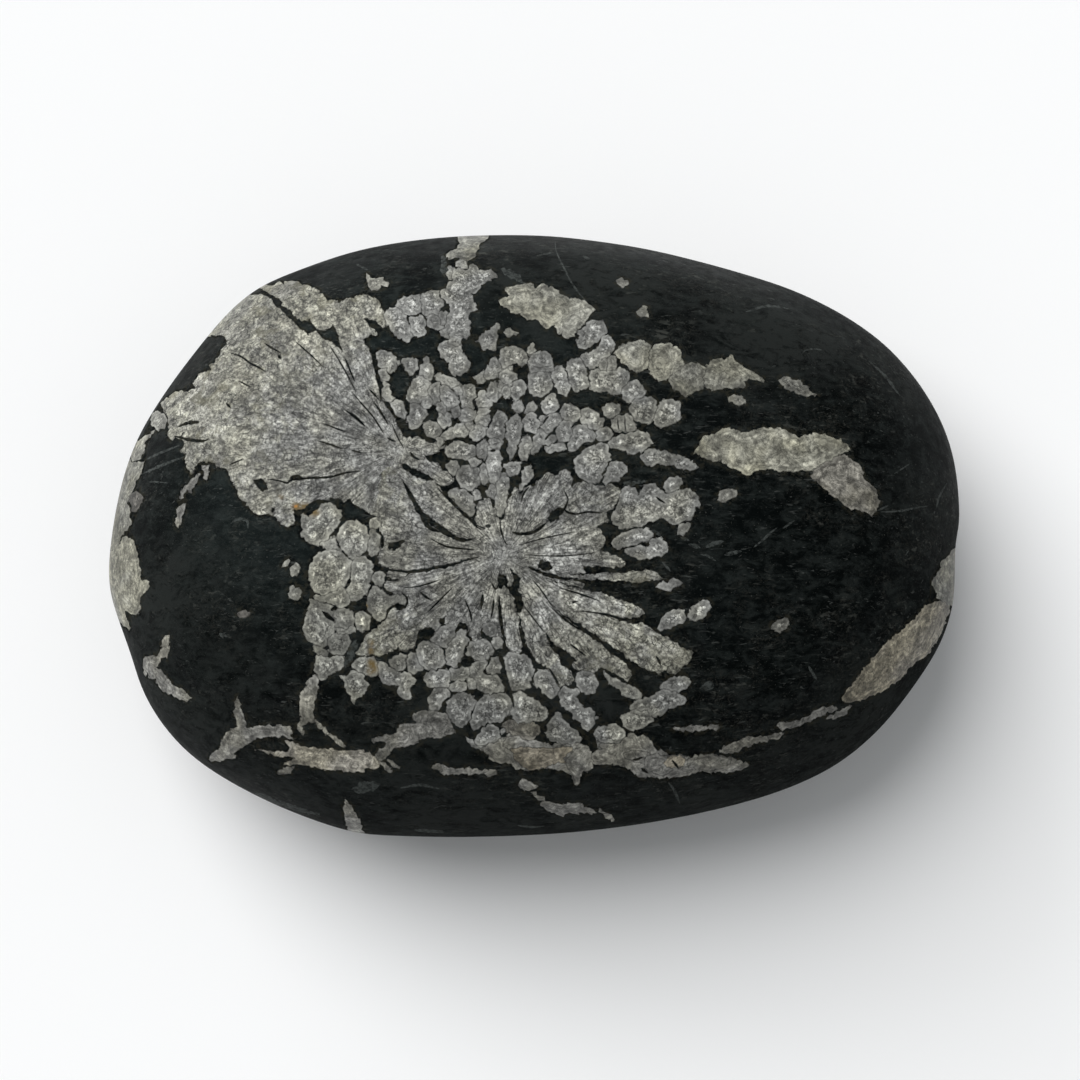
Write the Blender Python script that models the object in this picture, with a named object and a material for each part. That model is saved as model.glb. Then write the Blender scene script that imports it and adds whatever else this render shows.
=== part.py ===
"""A chrysanthemum stone: one flattened river pebble of black limestone, polished, lying on its flattest side.

The crystal flowers lie in the stone and are polished flush with it, so the pebble is a single closed solid.
Metres, +Z up. X runs along the stone and Y across it. The origin is under its middle, on the flat that it rests on.
"""

import math

import bmesh
import bpy
from mathutils import Vector, noise

STONE_NAME = "chrysanthemum_stone"

# Driving dimensions
LENGTH = 0.125
WIDTH = 0.089
GIRTH_HEIGHT = 0.019  # from the resting flat up to the widest outline
FACE_HEIGHT = 0.025  # from the widest outline up to the crown of the flowered face
FLAT_SHARE = 0.96  # the underside is worn off flat at this share of its full depth

# The widest outline, seen from above, in the photograph's pixels: from the left end over the back to the right end
# and home along the front. It is scaled to LENGTH and WIDTH.
OUTLINE_PX = (
    (109, 577), (110, 555), (114, 520), (122, 480), (136, 440), (159, 400), (187, 360), (218, 320), (238, 300),
    (260, 285), (300, 269.5), (350, 253), (400, 243.5), (450, 238), (500, 236), (550, 237), (600, 243), (650, 251),
    (700, 263), (750, 277), (800, 294), (850, 319.5), (890, 349), (920, 384), (940, 418), (952, 450), (957.5, 480),
    (959.3, 510), (959, 531), (954.5, 548), (953.5, 580), (951, 608), (943, 634), (930, 660), (900, 702),
    (870, 736), (830, 767), (780, 790), (720, 807.5), (650, 821.5), (580, 830.5), (520, 834.5), (450, 836),
    (390, 834.5), (360, 832.5), (320, 821), (270, 801), (220, 774.5), (187, 750), (161, 720), (144, 690),
    (134, 660), (122.5, 630), (112, 600),
)
CURVE_STEPS = 12  # points along the smooth curve from each of them to the next
RIM_DETAIL_FADE = 8  # power by which the outline's small corners fade out from the rim towards the crown
BROAD_SPREAD = math.radians(14)  # the outline without its small corners is its average over this much each way
BROAD_SAMPLES = 4  # each side

# How square an upright section is: 2 is an ellipse, and more gives a flatter face with a tighter shoulder
FACE_SQUARENESS = {"right": 3.6, "back": 3.9, "left": 3.4, "front": 3.3}
UNDERSIDE_SQUARENESS = 2.7
RISE_SQUARENESS = 2.0

# Slight unevenness of the worn surface, nothing at the widest outline and full at the crown
SWELL_DEPTH = 0.0007
SWELL_SIZE = 0.026
SWELL_PLACE = Vector((3.7, 1.2, 8.4))

CUTS = 26  # across each side of the cube that the pebble starts from

BLACK_LIMESTONE = (0.012, 0.013, 0.013, 1.0)
POLISHED_ROUGHNESS = 0.4


def clear_scene():
    for old in list(bpy.data.objects):
        bpy.data.objects.remove(old, do_unlink=True)


def catmull_rom(before, start, end, after, t):
    """The point at t on the smooth curve from start to end."""
    return 0.5 * (
        2 * start
        + (end - before) * t
        + (2 * before - 5 * start + 4 * end - after) * t**2
        + (3 * start - before - 3 * end + after) * t**3
    )


def outline_curve():
    """The widest outline as a closed smooth curve, LENGTH by WIDTH, centred on the origin."""
    xs, ys = zip(*OUTLINE_PX)
    middle_x, middle_y = (min(xs) + max(xs)) / 2, (min(ys) + max(ys)) / 2
    along, across = LENGTH / (max(xs) - min(xs)), WIDTH / (max(ys) - min(ys))
    knots = [Vector(((x - middle_x) * along, (middle_y - y) * across)) for x, y in OUTLINE_PX]
    curve = []
    for i in range(len(knots)):
        stretch = [knots[(i + k) % len(knots)] for k in (-1, 0, 1, 2)]
        curve += [catmull_rom(*stretch, step / CURVE_STEPS) for step in range(CURVE_STEPS)]
    return curve


class Outline:
    """The distance from the stone's middle to its widest outline in any direction."""

    def __init__(self, curve):
        polar = sorted((math.atan2(point.y, point.x), point.length) for point in curve)
        (first, first_reach), (last, last_reach) = polar[0], polar[-1]
        self.polar = [(last - math.tau, last_reach), *polar, (first + math.tau, first_reach)]

    def fine(self, azimuth):
        """With every small corner."""
        azimuth = math.remainder(azimuth, math.tau)
        low, high = 0, len(self.polar) - 1
        while high - low > 1:
            half = (low + high) // 2
            if self.polar[half][0] <= azimuth:
                low = half
            else:
                high = half
        (start, near), (end, far) = self.polar[low], self.polar[high]
        return near + (far - near) * (azimuth - start) / (end - start)

    def broad(self, azimuth):
        """With the small corners averaged out."""
        turns = [BROAD_SPREAD * k / BROAD_SAMPLES for k in range(-BROAD_SAMPLES, BROAD_SAMPLES + 1)]
        return sum(self.fine(azimuth + turn) for turn in turns) / len(turns)

    def reach(self, azimuth, plan):
        """At a share of the way out from the middle."""
        broad = self.broad(azimuth)
        return broad + (self.fine(azimuth) - broad) * plan**RIM_DETAIL_FADE


def face_squareness(azimuth):
    """The squareness of the flowered face's section, blended between its four sides."""
    along, across = math.cos(azimuth), math.sin(azimuth)
    end = FACE_SQUARENESS["right" if along > 0 else "left"]
    side = FACE_SQUARENESS["back" if across > 0 else "front"]
    return end * along**2 + side * across**2


def on_section(plan, rise, squareness):
    """Scales (plan, rise) onto the curve plan**squareness + rise**RISE_SQUARENESS = 1."""
    near, far = 0.5, 2.0
    while far - near > 1e-9:
        scale = (near + far) / 2
        if (plan * scale) ** squareness + (rise * scale) ** RISE_SQUARENESS < 1:
            near = scale
        else:
            far = scale
    return plan * near, rise * near


def pebble_point(direction, outline):
    """Where a point of the unit sphere lies on the pebble, before the flat is worn, with z = 0 at the outline."""
    azimuth = math.atan2(direction.y * WIDTH, direction.x * LENGTH)
    on_face = direction.z > 0
    squareness = face_squareness(azimuth) if on_face else UNDERSIDE_SQUARENESS
    depth = FACE_HEIGHT if on_face else -GIRTH_HEIGHT / FLAT_SHARE
    plan, rise = on_section(math.hypot(direction.x, direction.y), abs(direction.z), squareness)
    reach = outline.reach(azimuth, plan) * plan
    point = Vector((reach * math.cos(azimuth), reach * math.sin(azimuth), depth * rise))
    swell = SWELL_DEPTH * rise * noise.noise(point / SWELL_SIZE + SWELL_PLACE)
    return point + direction * swell


def round_cube(bm):
    """Turns a cube into a sphere whose squares are all nearly the same size."""
    bmesh.ops.subdivide_edges(bm, edges=bm.edges, cuts=CUTS, use_grid_fill=True)
    for vertex in bm.verts:
        vertex.co = Vector([math.tan(math.pi / 4 * share) for share in vertex.co]).normalized()


def wear_flat(bm):
    """Takes the underside off at the resting flat."""
    cut = bmesh.ops.bisect_plane(
        bm,
        geom=[*bm.verts, *bm.edges, *bm.faces],
        dist=1e-6,
        plane_co=(0, 0, -GIRTH_HEIGHT),
        plane_no=(0, 0, -1),
        clear_outer=True,
    )
    rim = [part for part in cut["geom_cut"] if isinstance(part, bmesh.types.BMEdge)]
    bmesh.ops.contextual_create(bm, geom=rim)


def stand_on_origin(bm):
    """Moves the pebble so that its flat is at z = 0 and the middle of its length and width is at the origin."""
    xs, ys, zs = zip(*(vertex.co for vertex in bm.verts))
    middle = Vector(((min(xs) + max(xs)) / 2, (min(ys) + max(ys)) / 2, min(zs)))
    bmesh.ops.translate(bm, vec=-middle, verts=bm.verts)


def limestone():
    """Black limestone with a satin polish."""
    material = bpy.data.materials.new("black_limestone")
    material.use_nodes = True
    material.diffuse_color = BLACK_LIMESTONE
    shader = material.node_tree.nodes["Principled BSDF"]
    shader.inputs["Base Color"].default_value = BLACK_LIMESTONE
    shader.inputs["Roughness"].default_value = POLISHED_ROUGHNESS
    shader.inputs["Metallic"].default_value = 0.0
    return material


def pebble():
    """The whole stone, as one object."""
    outline = Outline(outline_curve())
    bpy.ops.mesh.primitive_cube_add(size=2)
    stone = bpy.context.object
    stone.name = stone.data.name = STONE_NAME
    bm = bmesh.new()
    bm.from_mesh(stone.data)
    round_cube(bm)
    for vertex in bm.verts:
        vertex.co = pebble_point(vertex.co, outline)
    wear_flat(bm)
    stand_on_origin(bm)
    bmesh.ops.recalc_face_normals(bm, faces=bm.faces)
    bm.to_mesh(stone.data)
    bm.free()
    stone.data.shade_smooth()
    stone.data.materials.append(limestone())
    return stone


def main():
    clear_scene()
    collection = bpy.data.collections.new(STONE_NAME)
    bpy.context.scene.collection.children.link(collection)
    stone = pebble()
    for holder in list(stone.users_collection):
        holder.objects.unlink(stone)
    collection.objects.link(stone)


main()
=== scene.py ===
"""A chrysanthemum stone: a polished pebble of black limestone with two flowers of pale crystal in it.

Metres, +Z up, in the CAD model's frame. Outlines in px are places in the photograph, 1080 pixels square.
"""

import math
import random

import bpy
import numpy as np
from mathutils import Matrix, Vector, geometry, kdtree, noise
from mathutils.bvhtree import BVHTree


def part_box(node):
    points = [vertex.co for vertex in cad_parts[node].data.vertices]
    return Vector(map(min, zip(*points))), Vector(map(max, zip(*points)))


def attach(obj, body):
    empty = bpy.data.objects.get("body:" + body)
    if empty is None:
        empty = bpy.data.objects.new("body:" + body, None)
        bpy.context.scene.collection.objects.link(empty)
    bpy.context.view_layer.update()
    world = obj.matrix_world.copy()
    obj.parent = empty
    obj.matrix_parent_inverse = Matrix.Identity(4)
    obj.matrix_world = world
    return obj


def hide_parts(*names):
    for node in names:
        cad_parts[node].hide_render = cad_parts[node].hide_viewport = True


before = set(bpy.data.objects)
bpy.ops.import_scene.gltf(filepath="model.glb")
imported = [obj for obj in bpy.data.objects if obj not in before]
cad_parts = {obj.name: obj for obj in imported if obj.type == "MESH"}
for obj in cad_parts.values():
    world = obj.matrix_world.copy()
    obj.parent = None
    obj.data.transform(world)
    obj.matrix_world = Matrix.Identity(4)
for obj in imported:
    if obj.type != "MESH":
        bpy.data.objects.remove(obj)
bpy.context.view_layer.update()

# The camera looks down on the flowered face, as the photographer did, from a little towards the front.
# It comes first, because the crystals are placed along its lines of sight.
AIM = Vector((0.00076, -0.00085, 0.019))
ELEVATION = math.radians(80)
DISTANCE = 0.45
LENS = 0.10185
SENSOR = 0.036
PHOTO_PX = 1080

sight = Vector((0, -math.cos(ELEVATION), math.sin(ELEVATION)))
bpy.ops.object.camera_add(location=AIM + sight * DISTANCE, rotation=(math.pi / 2 - ELEVATION, 0, 0))
camera = bpy.context.object
camera.data.lens = LENS * 1000
camera.data.sensor_width = SENSOR * 1000
bpy.context.scene.camera = camera
bpy.context.view_layer.update()


def line_of_sight(px):
    """The direction from the camera to a pixel of the photograph."""
    reach = SENSOR / LENS / PHOTO_PX
    across, up = (px[0] - PHOTO_PX / 2) * reach, (PHOTO_PX / 2 - px[1]) * reach
    return (camera.matrix_world.to_3x3() @ Vector((across, up, -1))).normalized()


# The pebble's form: black limestone that a river wore round and that was then polished all over. It is a
# copy of the CAD solid with its flat facets smoothed, and it only guides the finished surface made below.
STONE_NODE = "chrysanthemum_stone"
SAME_CORNER = 0.000001  # the CAD facets' corners that are closer than this are merged
SMOOTHING = 3

bpy.ops.object.select_all(action="DESELECT")
stone = bpy.data.objects.new("polished_stone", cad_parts[STONE_NODE].data.copy())
bpy.context.collection.objects.link(stone)
bpy.context.view_layer.objects.active = stone
stone.select_set(True)
stone.data.materials.clear()
bpy.ops.mesh.customdata_custom_splitnormals_clear()
bpy.ops.object.mode_set(mode="EDIT")
bpy.ops.mesh.select_all(action="SELECT")
bpy.ops.mesh.remove_doubles(threshold=SAME_CORNER)
bpy.ops.mesh.tris_convert_to_quads()
bpy.ops.object.mode_set(mode="OBJECT")
bpy.ops.object.modifier_add(type="SUBSURF")
smoothing = stone.modifiers[0]
smoothing.levels = smoothing.render_levels = SMOOTHING
bpy.ops.object.modifier_apply(modifier=smoothing.name)

form = BVHTree.FromObject(stone, bpy.context.evaluated_depsgraph_get())
low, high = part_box(STONE_NODE)
MIDDLE = (low + high) / 2
HALF = (high - low) / 2
FAR = 1.0  # longer than any line that is followed to the surface


def unroll(point):
    """A point of the surface on a flat disc that holds all of it, with the face's middle at real size."""
    way = Vector([(point[k] - MIDDLE[k]) / HALF[k] for k in range(3)]).normalized()
    return Vector((way.x * HALF.x, way.y * HALF.y)) * 2 / (1 + way.z)


def roll(spot):
    """The point of the surface at a spot on the disc, and the normal there."""
    x, y = spot[0] / HALF.x / 2, spot[1] / HALF.y / 2
    span = x * x + y * y
    way = Vector((2 * x * HALF.x, 2 * y * HALF.y, (1 - span) * HALF.z))
    point, normal, _, _ = form.ray_cast(MIDDLE, way.normalized(), FAR)
    return point, normal


def under_pixel(px):
    """The point of the surface that the photograph shows at a pixel, or None beyond the stone's edge."""
    return form.ray_cast(camera.location, line_of_sight(px), FAR)[0]


def facing(point, normal):
    """How far the surface faces the camera at a point: 1 straight at it, 0 edge on."""
    return normal.dot((camera.location - point).normalized())


LOWEST_ON_SIDE = 0.0005


def down_side(edge, drop):
    """The point of the side that lies under a point of the edge, lower by the drop."""
    out = Vector((edge.x, edge.y, 0)).normalized()
    height = max(edge.z - drop, LOWEST_ON_SIDE)
    return form.ray_cast(Vector((0, 0, height)) + out * FAR / 2, -out, FAR)[0]


HEART_OF_FACE = (534, 536)
MM_PER_PX = 0.147
EDGE_PX = 0.05  # how closely the stone's edge is found


def place(px):
    """Where a pixel falls on the disc. A pixel beyond the stone's edge carries on down its side."""
    found = under_pixel(px)
    if found is not None:
        return unroll(found)
    near, far = Vector(HEART_OF_FACE), Vector(px)
    while (far - near).length > EDGE_PX:
        half = (near + far) / 2
        found = under_pixel(half)
        if found is None:
            far = half
        else:
            near, edge = half, found
    return unroll(down_side(edge, (Vector(px) - near).length * MM_PER_PX / 1000))


# The crystals: white calcite and celestite that grew as flowers in the limestone while it was still mud.
# The polished surface cuts across them and they lie flush with it, so each is an area of the surface,
# with its outline drawn in the mesh. Cracks and gaps between them are areas of limestone.
STEP_PX = 1.7  # from one point of a crystal's edge to the next
UNEVENNESS = ((7.0, 1.8), (3.2, 2.1), (1.4, 1.0))  # how long the waves in an edge are, and how deep, in px
ROUNDNESS = 0.55  # of the corners of an outline: 0 for straight sides and 1 for a smooth curve
SPREAD_PX = 0.9  # from the outlines read off the photograph out to the crystals' edges

GREY = (0.196, 0.197, 0.185)
PEARL = (0.220, 0.220, 0.196)
PALE = (0.210, 0.208, 0.180)
SANDY = (0.172, 0.170, 0.150)
BEIGE = (0.290, 0.274, 0.236)
CREAM = (0.212, 0.208, 0.172)
BROWN = (0.198, 0.182, 0.148)
DUSKY = (0.172, 0.164, 0.142)
ASHEN = (0.190, 0.187, 0.171)
TAN = (0.270, 0.243, 0.190)
DULL = (0.080, 0.076, 0.068)
CLEAR = (PALE, BEIGE, CREAM, BROWN, DUSKY, ASHEN, TAN)  # the colours of the crystals with little grain

WANDER = (Vector((0, 0, 0)), Vector((31, 7, 13)), Vector((5, 47, 29)))  # so that the three ways differ
CRACK_RAGGED, CRACK_RAGGED_PX = 0.6, 2.6  # how much a crack's width varies, and over what length

crystals = []  # every crystal: its outline on the disc, its colour, heart and mass, and whether it is clear
breaks = []  # outlines of limestone that cuts through crystals


def through(before, start, end, after, t):
    """The point at t on a smooth curve from start to end."""
    return 0.5 * (
        2 * start
        + (end - before) * t
        + (2 * before - 5 * start + 4 * end - after) * t**2
        + (3 * start - before - 3 * end + after) * t**3
    )


def smooth_loop(outline, step):
    """Points a step apart along the closed curve through an outline, whose corners are partly rounded."""
    knots = [Vector(point) for point in outline]
    loop = []
    for k, start in enumerate(knots):
        before, end, after = knots[k - 1], knots[(k + 1) % len(knots)], knots[(k + 2) % len(knots)]
        count = max(1, round((end - start).length / step))
        for n in range(count):
            rounded = through(before, start, end, after, n / count)
            loop.append(start.lerp(end, n / count).lerp(rounded, ROUNDNESS))
    return loop


def wandered(spot, waves):
    """A place moved a little by noise: waves gives how long each wave is and how deep."""
    moved = spot.copy()
    for size, depth in waves:
        moved += Vector([noise.noise(spot / size + shift) for shift in WANDER]) * depth
    return moved


def uneven(spot):
    """A point of an outline in the photograph, moved a little, as no crystal's side is smooth."""
    return wandered(spot.to_3d(), UNEVENNESS).xy


def widened(loop, amount):
    """A loop with each point moved outwards."""
    turn = sum(loop[k - 1].cross(loop[k]) for k in range(len(loop)))
    side = Vector((0, 0, -math.copysign(amount, turn)))
    moved = []
    for k, spot in enumerate(loop):
        along = (loop[(k + 1) % len(loop)] - loop[k - 1]).normalized()
        moved.append(spot + side.cross(along.to_3d()).xy)
    return moved


def heart_at(px):
    """A heart's place in the stone, in millimetres."""
    return under_pixel(px) * 1000


def middle_of(loop):
    """The middle of a loop on the disc, as a place in the stone in millimetres."""
    return roll(sum(loop, Vector((0, 0))) / len(loop))[0] * 1000


def add_crystal(loop, colour, heart=None, mass=None, clear=False):
    """Adds a crystal that grew from its heart, or else from its middle. In one mass there are no seams."""
    heart = middle_of(loop) if heart is None else heart
    mass = mass or len(crystals)
    crystals.append({"loop": loop, "colour": colour, "heart": heart, "mass": mass, "clear": clear})


VARIATION = 0.16  # in brightness, from one crystal to the next


def varied(colour, number):
    """A crystal's own shade of a colour."""
    share = 1 + VARIATION * math.sin(number * 2.4 + math.sin(number * 1.7) * 2)
    return [share * part for part in colour]


def grow(outlines, colour, widening=SPREAD_PX, mass=None):
    """Adds single crystals of one colour from their outlines in the photograph."""
    for outline in outlines:
        loop = widened(smooth_loop(outline, STEP_PX), widening)
        loop = [place(uneven(spot)) for spot in loop]
        add_crystal(loop, varied(colour, len(crystals)), mass=mass, clear=colour in CLEAR)


def grow_flower(outlines, heart_px):
    """Adds a flower's blades, whose outlines overlap, so that they are one mass."""
    for outline in outlines:
        loop = [place(uneven(spot)) for spot in smooth_loop(outline, STEP_PX)]
        add_crystal(loop, GREY, heart_at(heart_px), "flowers")


def crack(width, *points):
    """A crack's outline in the photograph: a smooth line through the points, that runs out at both ends."""
    knots = [Vector(point) for point in points]
    knots = [2 * knots[0] - knots[1], *knots, 2 * knots[-1] - knots[-2]]
    line = []
    for before, start, end, after in zip(knots, knots[1:], knots[2:], knots[3:]):
        count = max(1, round((end - start).length / STEP_PX))
        line += [through(before, start, end, after, n / count) for n in range(count)]
    line.append(knots[-2])
    left, right = [], []
    for k, spot in enumerate(line[1:-1], 1):
        along = (line[k + 1] - line[k - 1]).normalized()
        share = math.sin(math.pi * k / (len(line) - 1)) ** 0.5
        ragged = 1 + CRACK_RAGGED * noise.noise(Vector((spot.x, spot.y, width)) / CRACK_RAGGED_PX)
        half = Vector((-along.y, along.x)) * width / 2 * share * ragged
        left.append(spot + half)
        right.append(spot - half)
    return [line[0], *left, line[-1], *reversed(right)]


# The two flowers, grown together: blades of crystal that run out from two hearts. Each list of outlines
# here is read off the photograph, in its pixels, and the outlines overlap, so that together they
# are one mass of crystal. Points beyond the stone's edge carry on down its side.
LEFT_FLOWER = (
    ((225, 272), (240, 284), (251, 290), (262, 285), (276, 283), (286, 282), (297, 281), (303, 284),
     (310, 286), (316, 288), (321, 292), (326, 297), (328, 300), (335, 299), (339, 303), (342, 301),
     (347, 299), (354, 299), (357, 296), (362, 294), (368, 295), (372, 297), (377, 298), (380, 303),
     (380, 308), (384, 311), (388, 314), (386, 320), (387, 326), (383, 328), (378, 325), (374, 322),
     (370, 319), (364, 318), (368, 323), (372, 327), (376, 331), (378, 335), (375, 337), (372, 334),
     (368, 336), (364, 340), (366, 344), (369, 349), (372, 356), (374, 365), (377, 375), (379, 385),
     (381, 395), (384, 403), (389, 410), (395, 418), (398, 426), (402, 433), (407, 438), (412, 437),
     (418, 436), (424, 440), (430, 444), (437, 441), (440, 446), (439, 452), (432, 455), (426, 457),
     (430, 461), (436, 462), (441, 467), (446, 472), (451, 476), (454, 480), (451, 485), (444, 486),
     (434, 484), (428, 492), (410, 488), (402, 476), (392, 480), (384, 500), (374, 515), (366, 511),
     (358, 506), (351, 501), (344, 500), (335, 500), (325, 500), (315, 501), (308, 505), (300, 509),
     (294, 511), (293, 515), (296, 521), (292, 526), (287, 527), (282, 524), (278, 519), (272, 516),
     (266, 515), (259, 515), (252, 511), (247, 507), (245, 501), (238, 497), (237, 490), (234, 484),
     (230, 477), (227, 471), (222, 468), (216, 466), (211, 462), (205, 462), (199, 464), (195, 470),
     (191, 475), (188, 470), (186, 461), (184, 455), (180, 450), (184, 446), (182, 440), (176, 436),
     (173, 441), (168, 437), (169, 430), (168, 422), (166, 414), (163, 408), (161, 404), (164, 400),
     (170, 395), (176, 391), (185, 391), (194, 390), (193, 383), (196, 378), (203, 372), (211, 370),
     (209, 365), (215, 362), (218, 356), (220, 349), (224, 345), (227, 340), (221, 335), (214, 336),
     (205, 335), (190, 322), (196, 300)),
)
MAIN_FLOWER = (
    # The blades between the two hearts
    ((384, 470), (402, 464), (412, 478), (434, 482), (440, 488), (447, 496), (455, 504), (463, 511),
     (470, 518), (477, 526), (484, 530), (490, 534), (484, 560), (467, 559), (455, 563), (440, 566),
     (425, 569), (410, 571), (400, 570), (385, 568), (379, 564), (378, 556), (380, 546), (384, 541),
     (381, 530), (377, 522), (374, 515), (378, 495)),
    # The heart and the blades to the upper right
    ((474, 517), (476, 512), (478, 506), (479, 501), (485, 497), (491, 501), (496, 509), (498, 517),
     (501, 521), (504, 517), (506, 508), (508, 499), (512, 492), (517, 487), (521, 494), (524, 489),
     (530, 486), (533, 487), (538, 481), (543, 476), (547, 472), (552, 474), (557, 474), (563, 470),
     (569, 470), (572, 476), (573, 482), (572, 487), (576, 484), (582, 481), (587, 482), (594, 485),
     (605, 485), (612, 485), (618, 486), (620, 491), (619, 498), (616, 504), (613, 510), (606, 512),
     (608, 516), (608, 520), (604, 523), (599, 525), (598, 528), (602, 532), (605, 537), (606, 543),
     (603, 547), (602, 551), (606, 552), (613, 554), (618, 557), (624, 560), (626, 564), (622, 567),
     (604, 567), (585, 566), (587, 570), (584, 573), (575, 574), (565, 573), (555, 570), (540, 572),
     (520, 576), (500, 575), (482, 566), (478, 548), (484, 532), (484, 527), (480, 526), (475, 522)),
    # The long thin blades straight to the right
    ((520, 560), (540, 566), (550, 569), (560, 572), (572, 574), (580, 575), (586, 574), (594, 574),
     (610, 572), (620, 573), (630, 571), (640, 570), (650, 570), (656, 572), (663, 578), (658, 580),
     (640, 582), (618, 581), (596, 580), (582, 579), (570, 578), (560, 576), (550, 573), (520, 572)),
    ((516, 566), (530, 570), (540, 573), (550, 577), (560, 579), (570, 580), (580, 581), (585, 585),
     (582, 588), (574, 587), (564, 584), (554, 581), (545, 578), (516, 576)),
    # The broad blades to the lower right
    ((508, 562), (530, 572), (545, 578), (560, 584), (575, 588), (590, 590), (600, 593), (610, 596),
     (620, 598), (628, 602), (635, 605), (641, 608), (645, 612), (641, 616), (633, 618), (625, 619),
     (617, 618), (606, 615), (600, 625), (560, 612), (530, 598), (508, 585)),
    ((560, 596), (600, 612), (610, 617), (618, 620), (625, 621), (633, 623), (641, 623), (647, 625),
     (652, 629), (658, 633), (665, 636), (672, 639), (678, 644), (682, 648), (692, 650), (693, 655),
     (690, 661), (685, 667), (680, 671), (674, 675), (668, 673), (663, 670), (660, 675), (650, 671),
     (643, 668), (636, 664), (630, 660), (624, 655), (617, 650), (610, 645), (600, 638), (575, 622),
     (540, 600)),
    ((520, 580), (540, 598), (565, 618), (585, 632), (600, 643), (612, 652), (619, 658), (626, 664),
     (631, 670), (632, 676), (628, 680), (621, 678), (613, 674), (605, 669), (600, 667), (597, 671),
     (592, 674), (585, 671), (578, 671), (573, 667), (572, 663), (577, 660), (571, 656), (566, 650),
     (562, 649), (556, 646), (550, 640), (540, 625), (522, 605), (515, 590)),
    ((522, 600), (532, 612), (541, 624), (547, 634), (551, 644), (556, 651), (559, 658), (562, 664),
     (567, 668), (572, 672), (574, 679), (571, 684), (566, 685), (559, 690), (556, 684), (553, 678),
     (549, 671), (545, 666), (538, 664), (534, 658), (530, 652), (526, 643), (523, 632), (518, 612)),
    # The blades straight down
    ((496, 575), (507, 588), (513, 597), (516, 606), (518, 616), (520, 628), (522, 640), (523, 651),
     (518, 654), (511, 652), (507, 646), (504, 634), (501, 620), (494, 600), (488, 580)),
    ((470, 560), (500, 565), (500, 600), (500, 615), (501, 628), (503, 637), (498, 640), (493, 636),
     (490, 626), (484, 624), (481, 632), (480, 641), (472, 640), (469, 632), (466, 625), (460, 622),
     (455, 628), (446, 625), (440, 620), (432, 622), (430, 626), (424, 629), (418, 631), (418, 637),
     (416, 643), (413, 649), (407, 652), (400, 650), (397, 645), (392, 651), (386, 655), (378, 656),
     (371, 654), (362, 656), (357, 654), (359, 648), (363, 641), (366, 635), (373, 629), (380, 624),
     (386, 619), (389, 612), (393, 608), (401, 609), (407, 606), (408, 599), (404, 594), (398, 594),
     (392, 594), (387, 590), (384, 585), (387, 581), (391, 578), (386, 576), (387, 571), (396, 569),
     (410, 573), (440, 568), (455, 565)),
)
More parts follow.
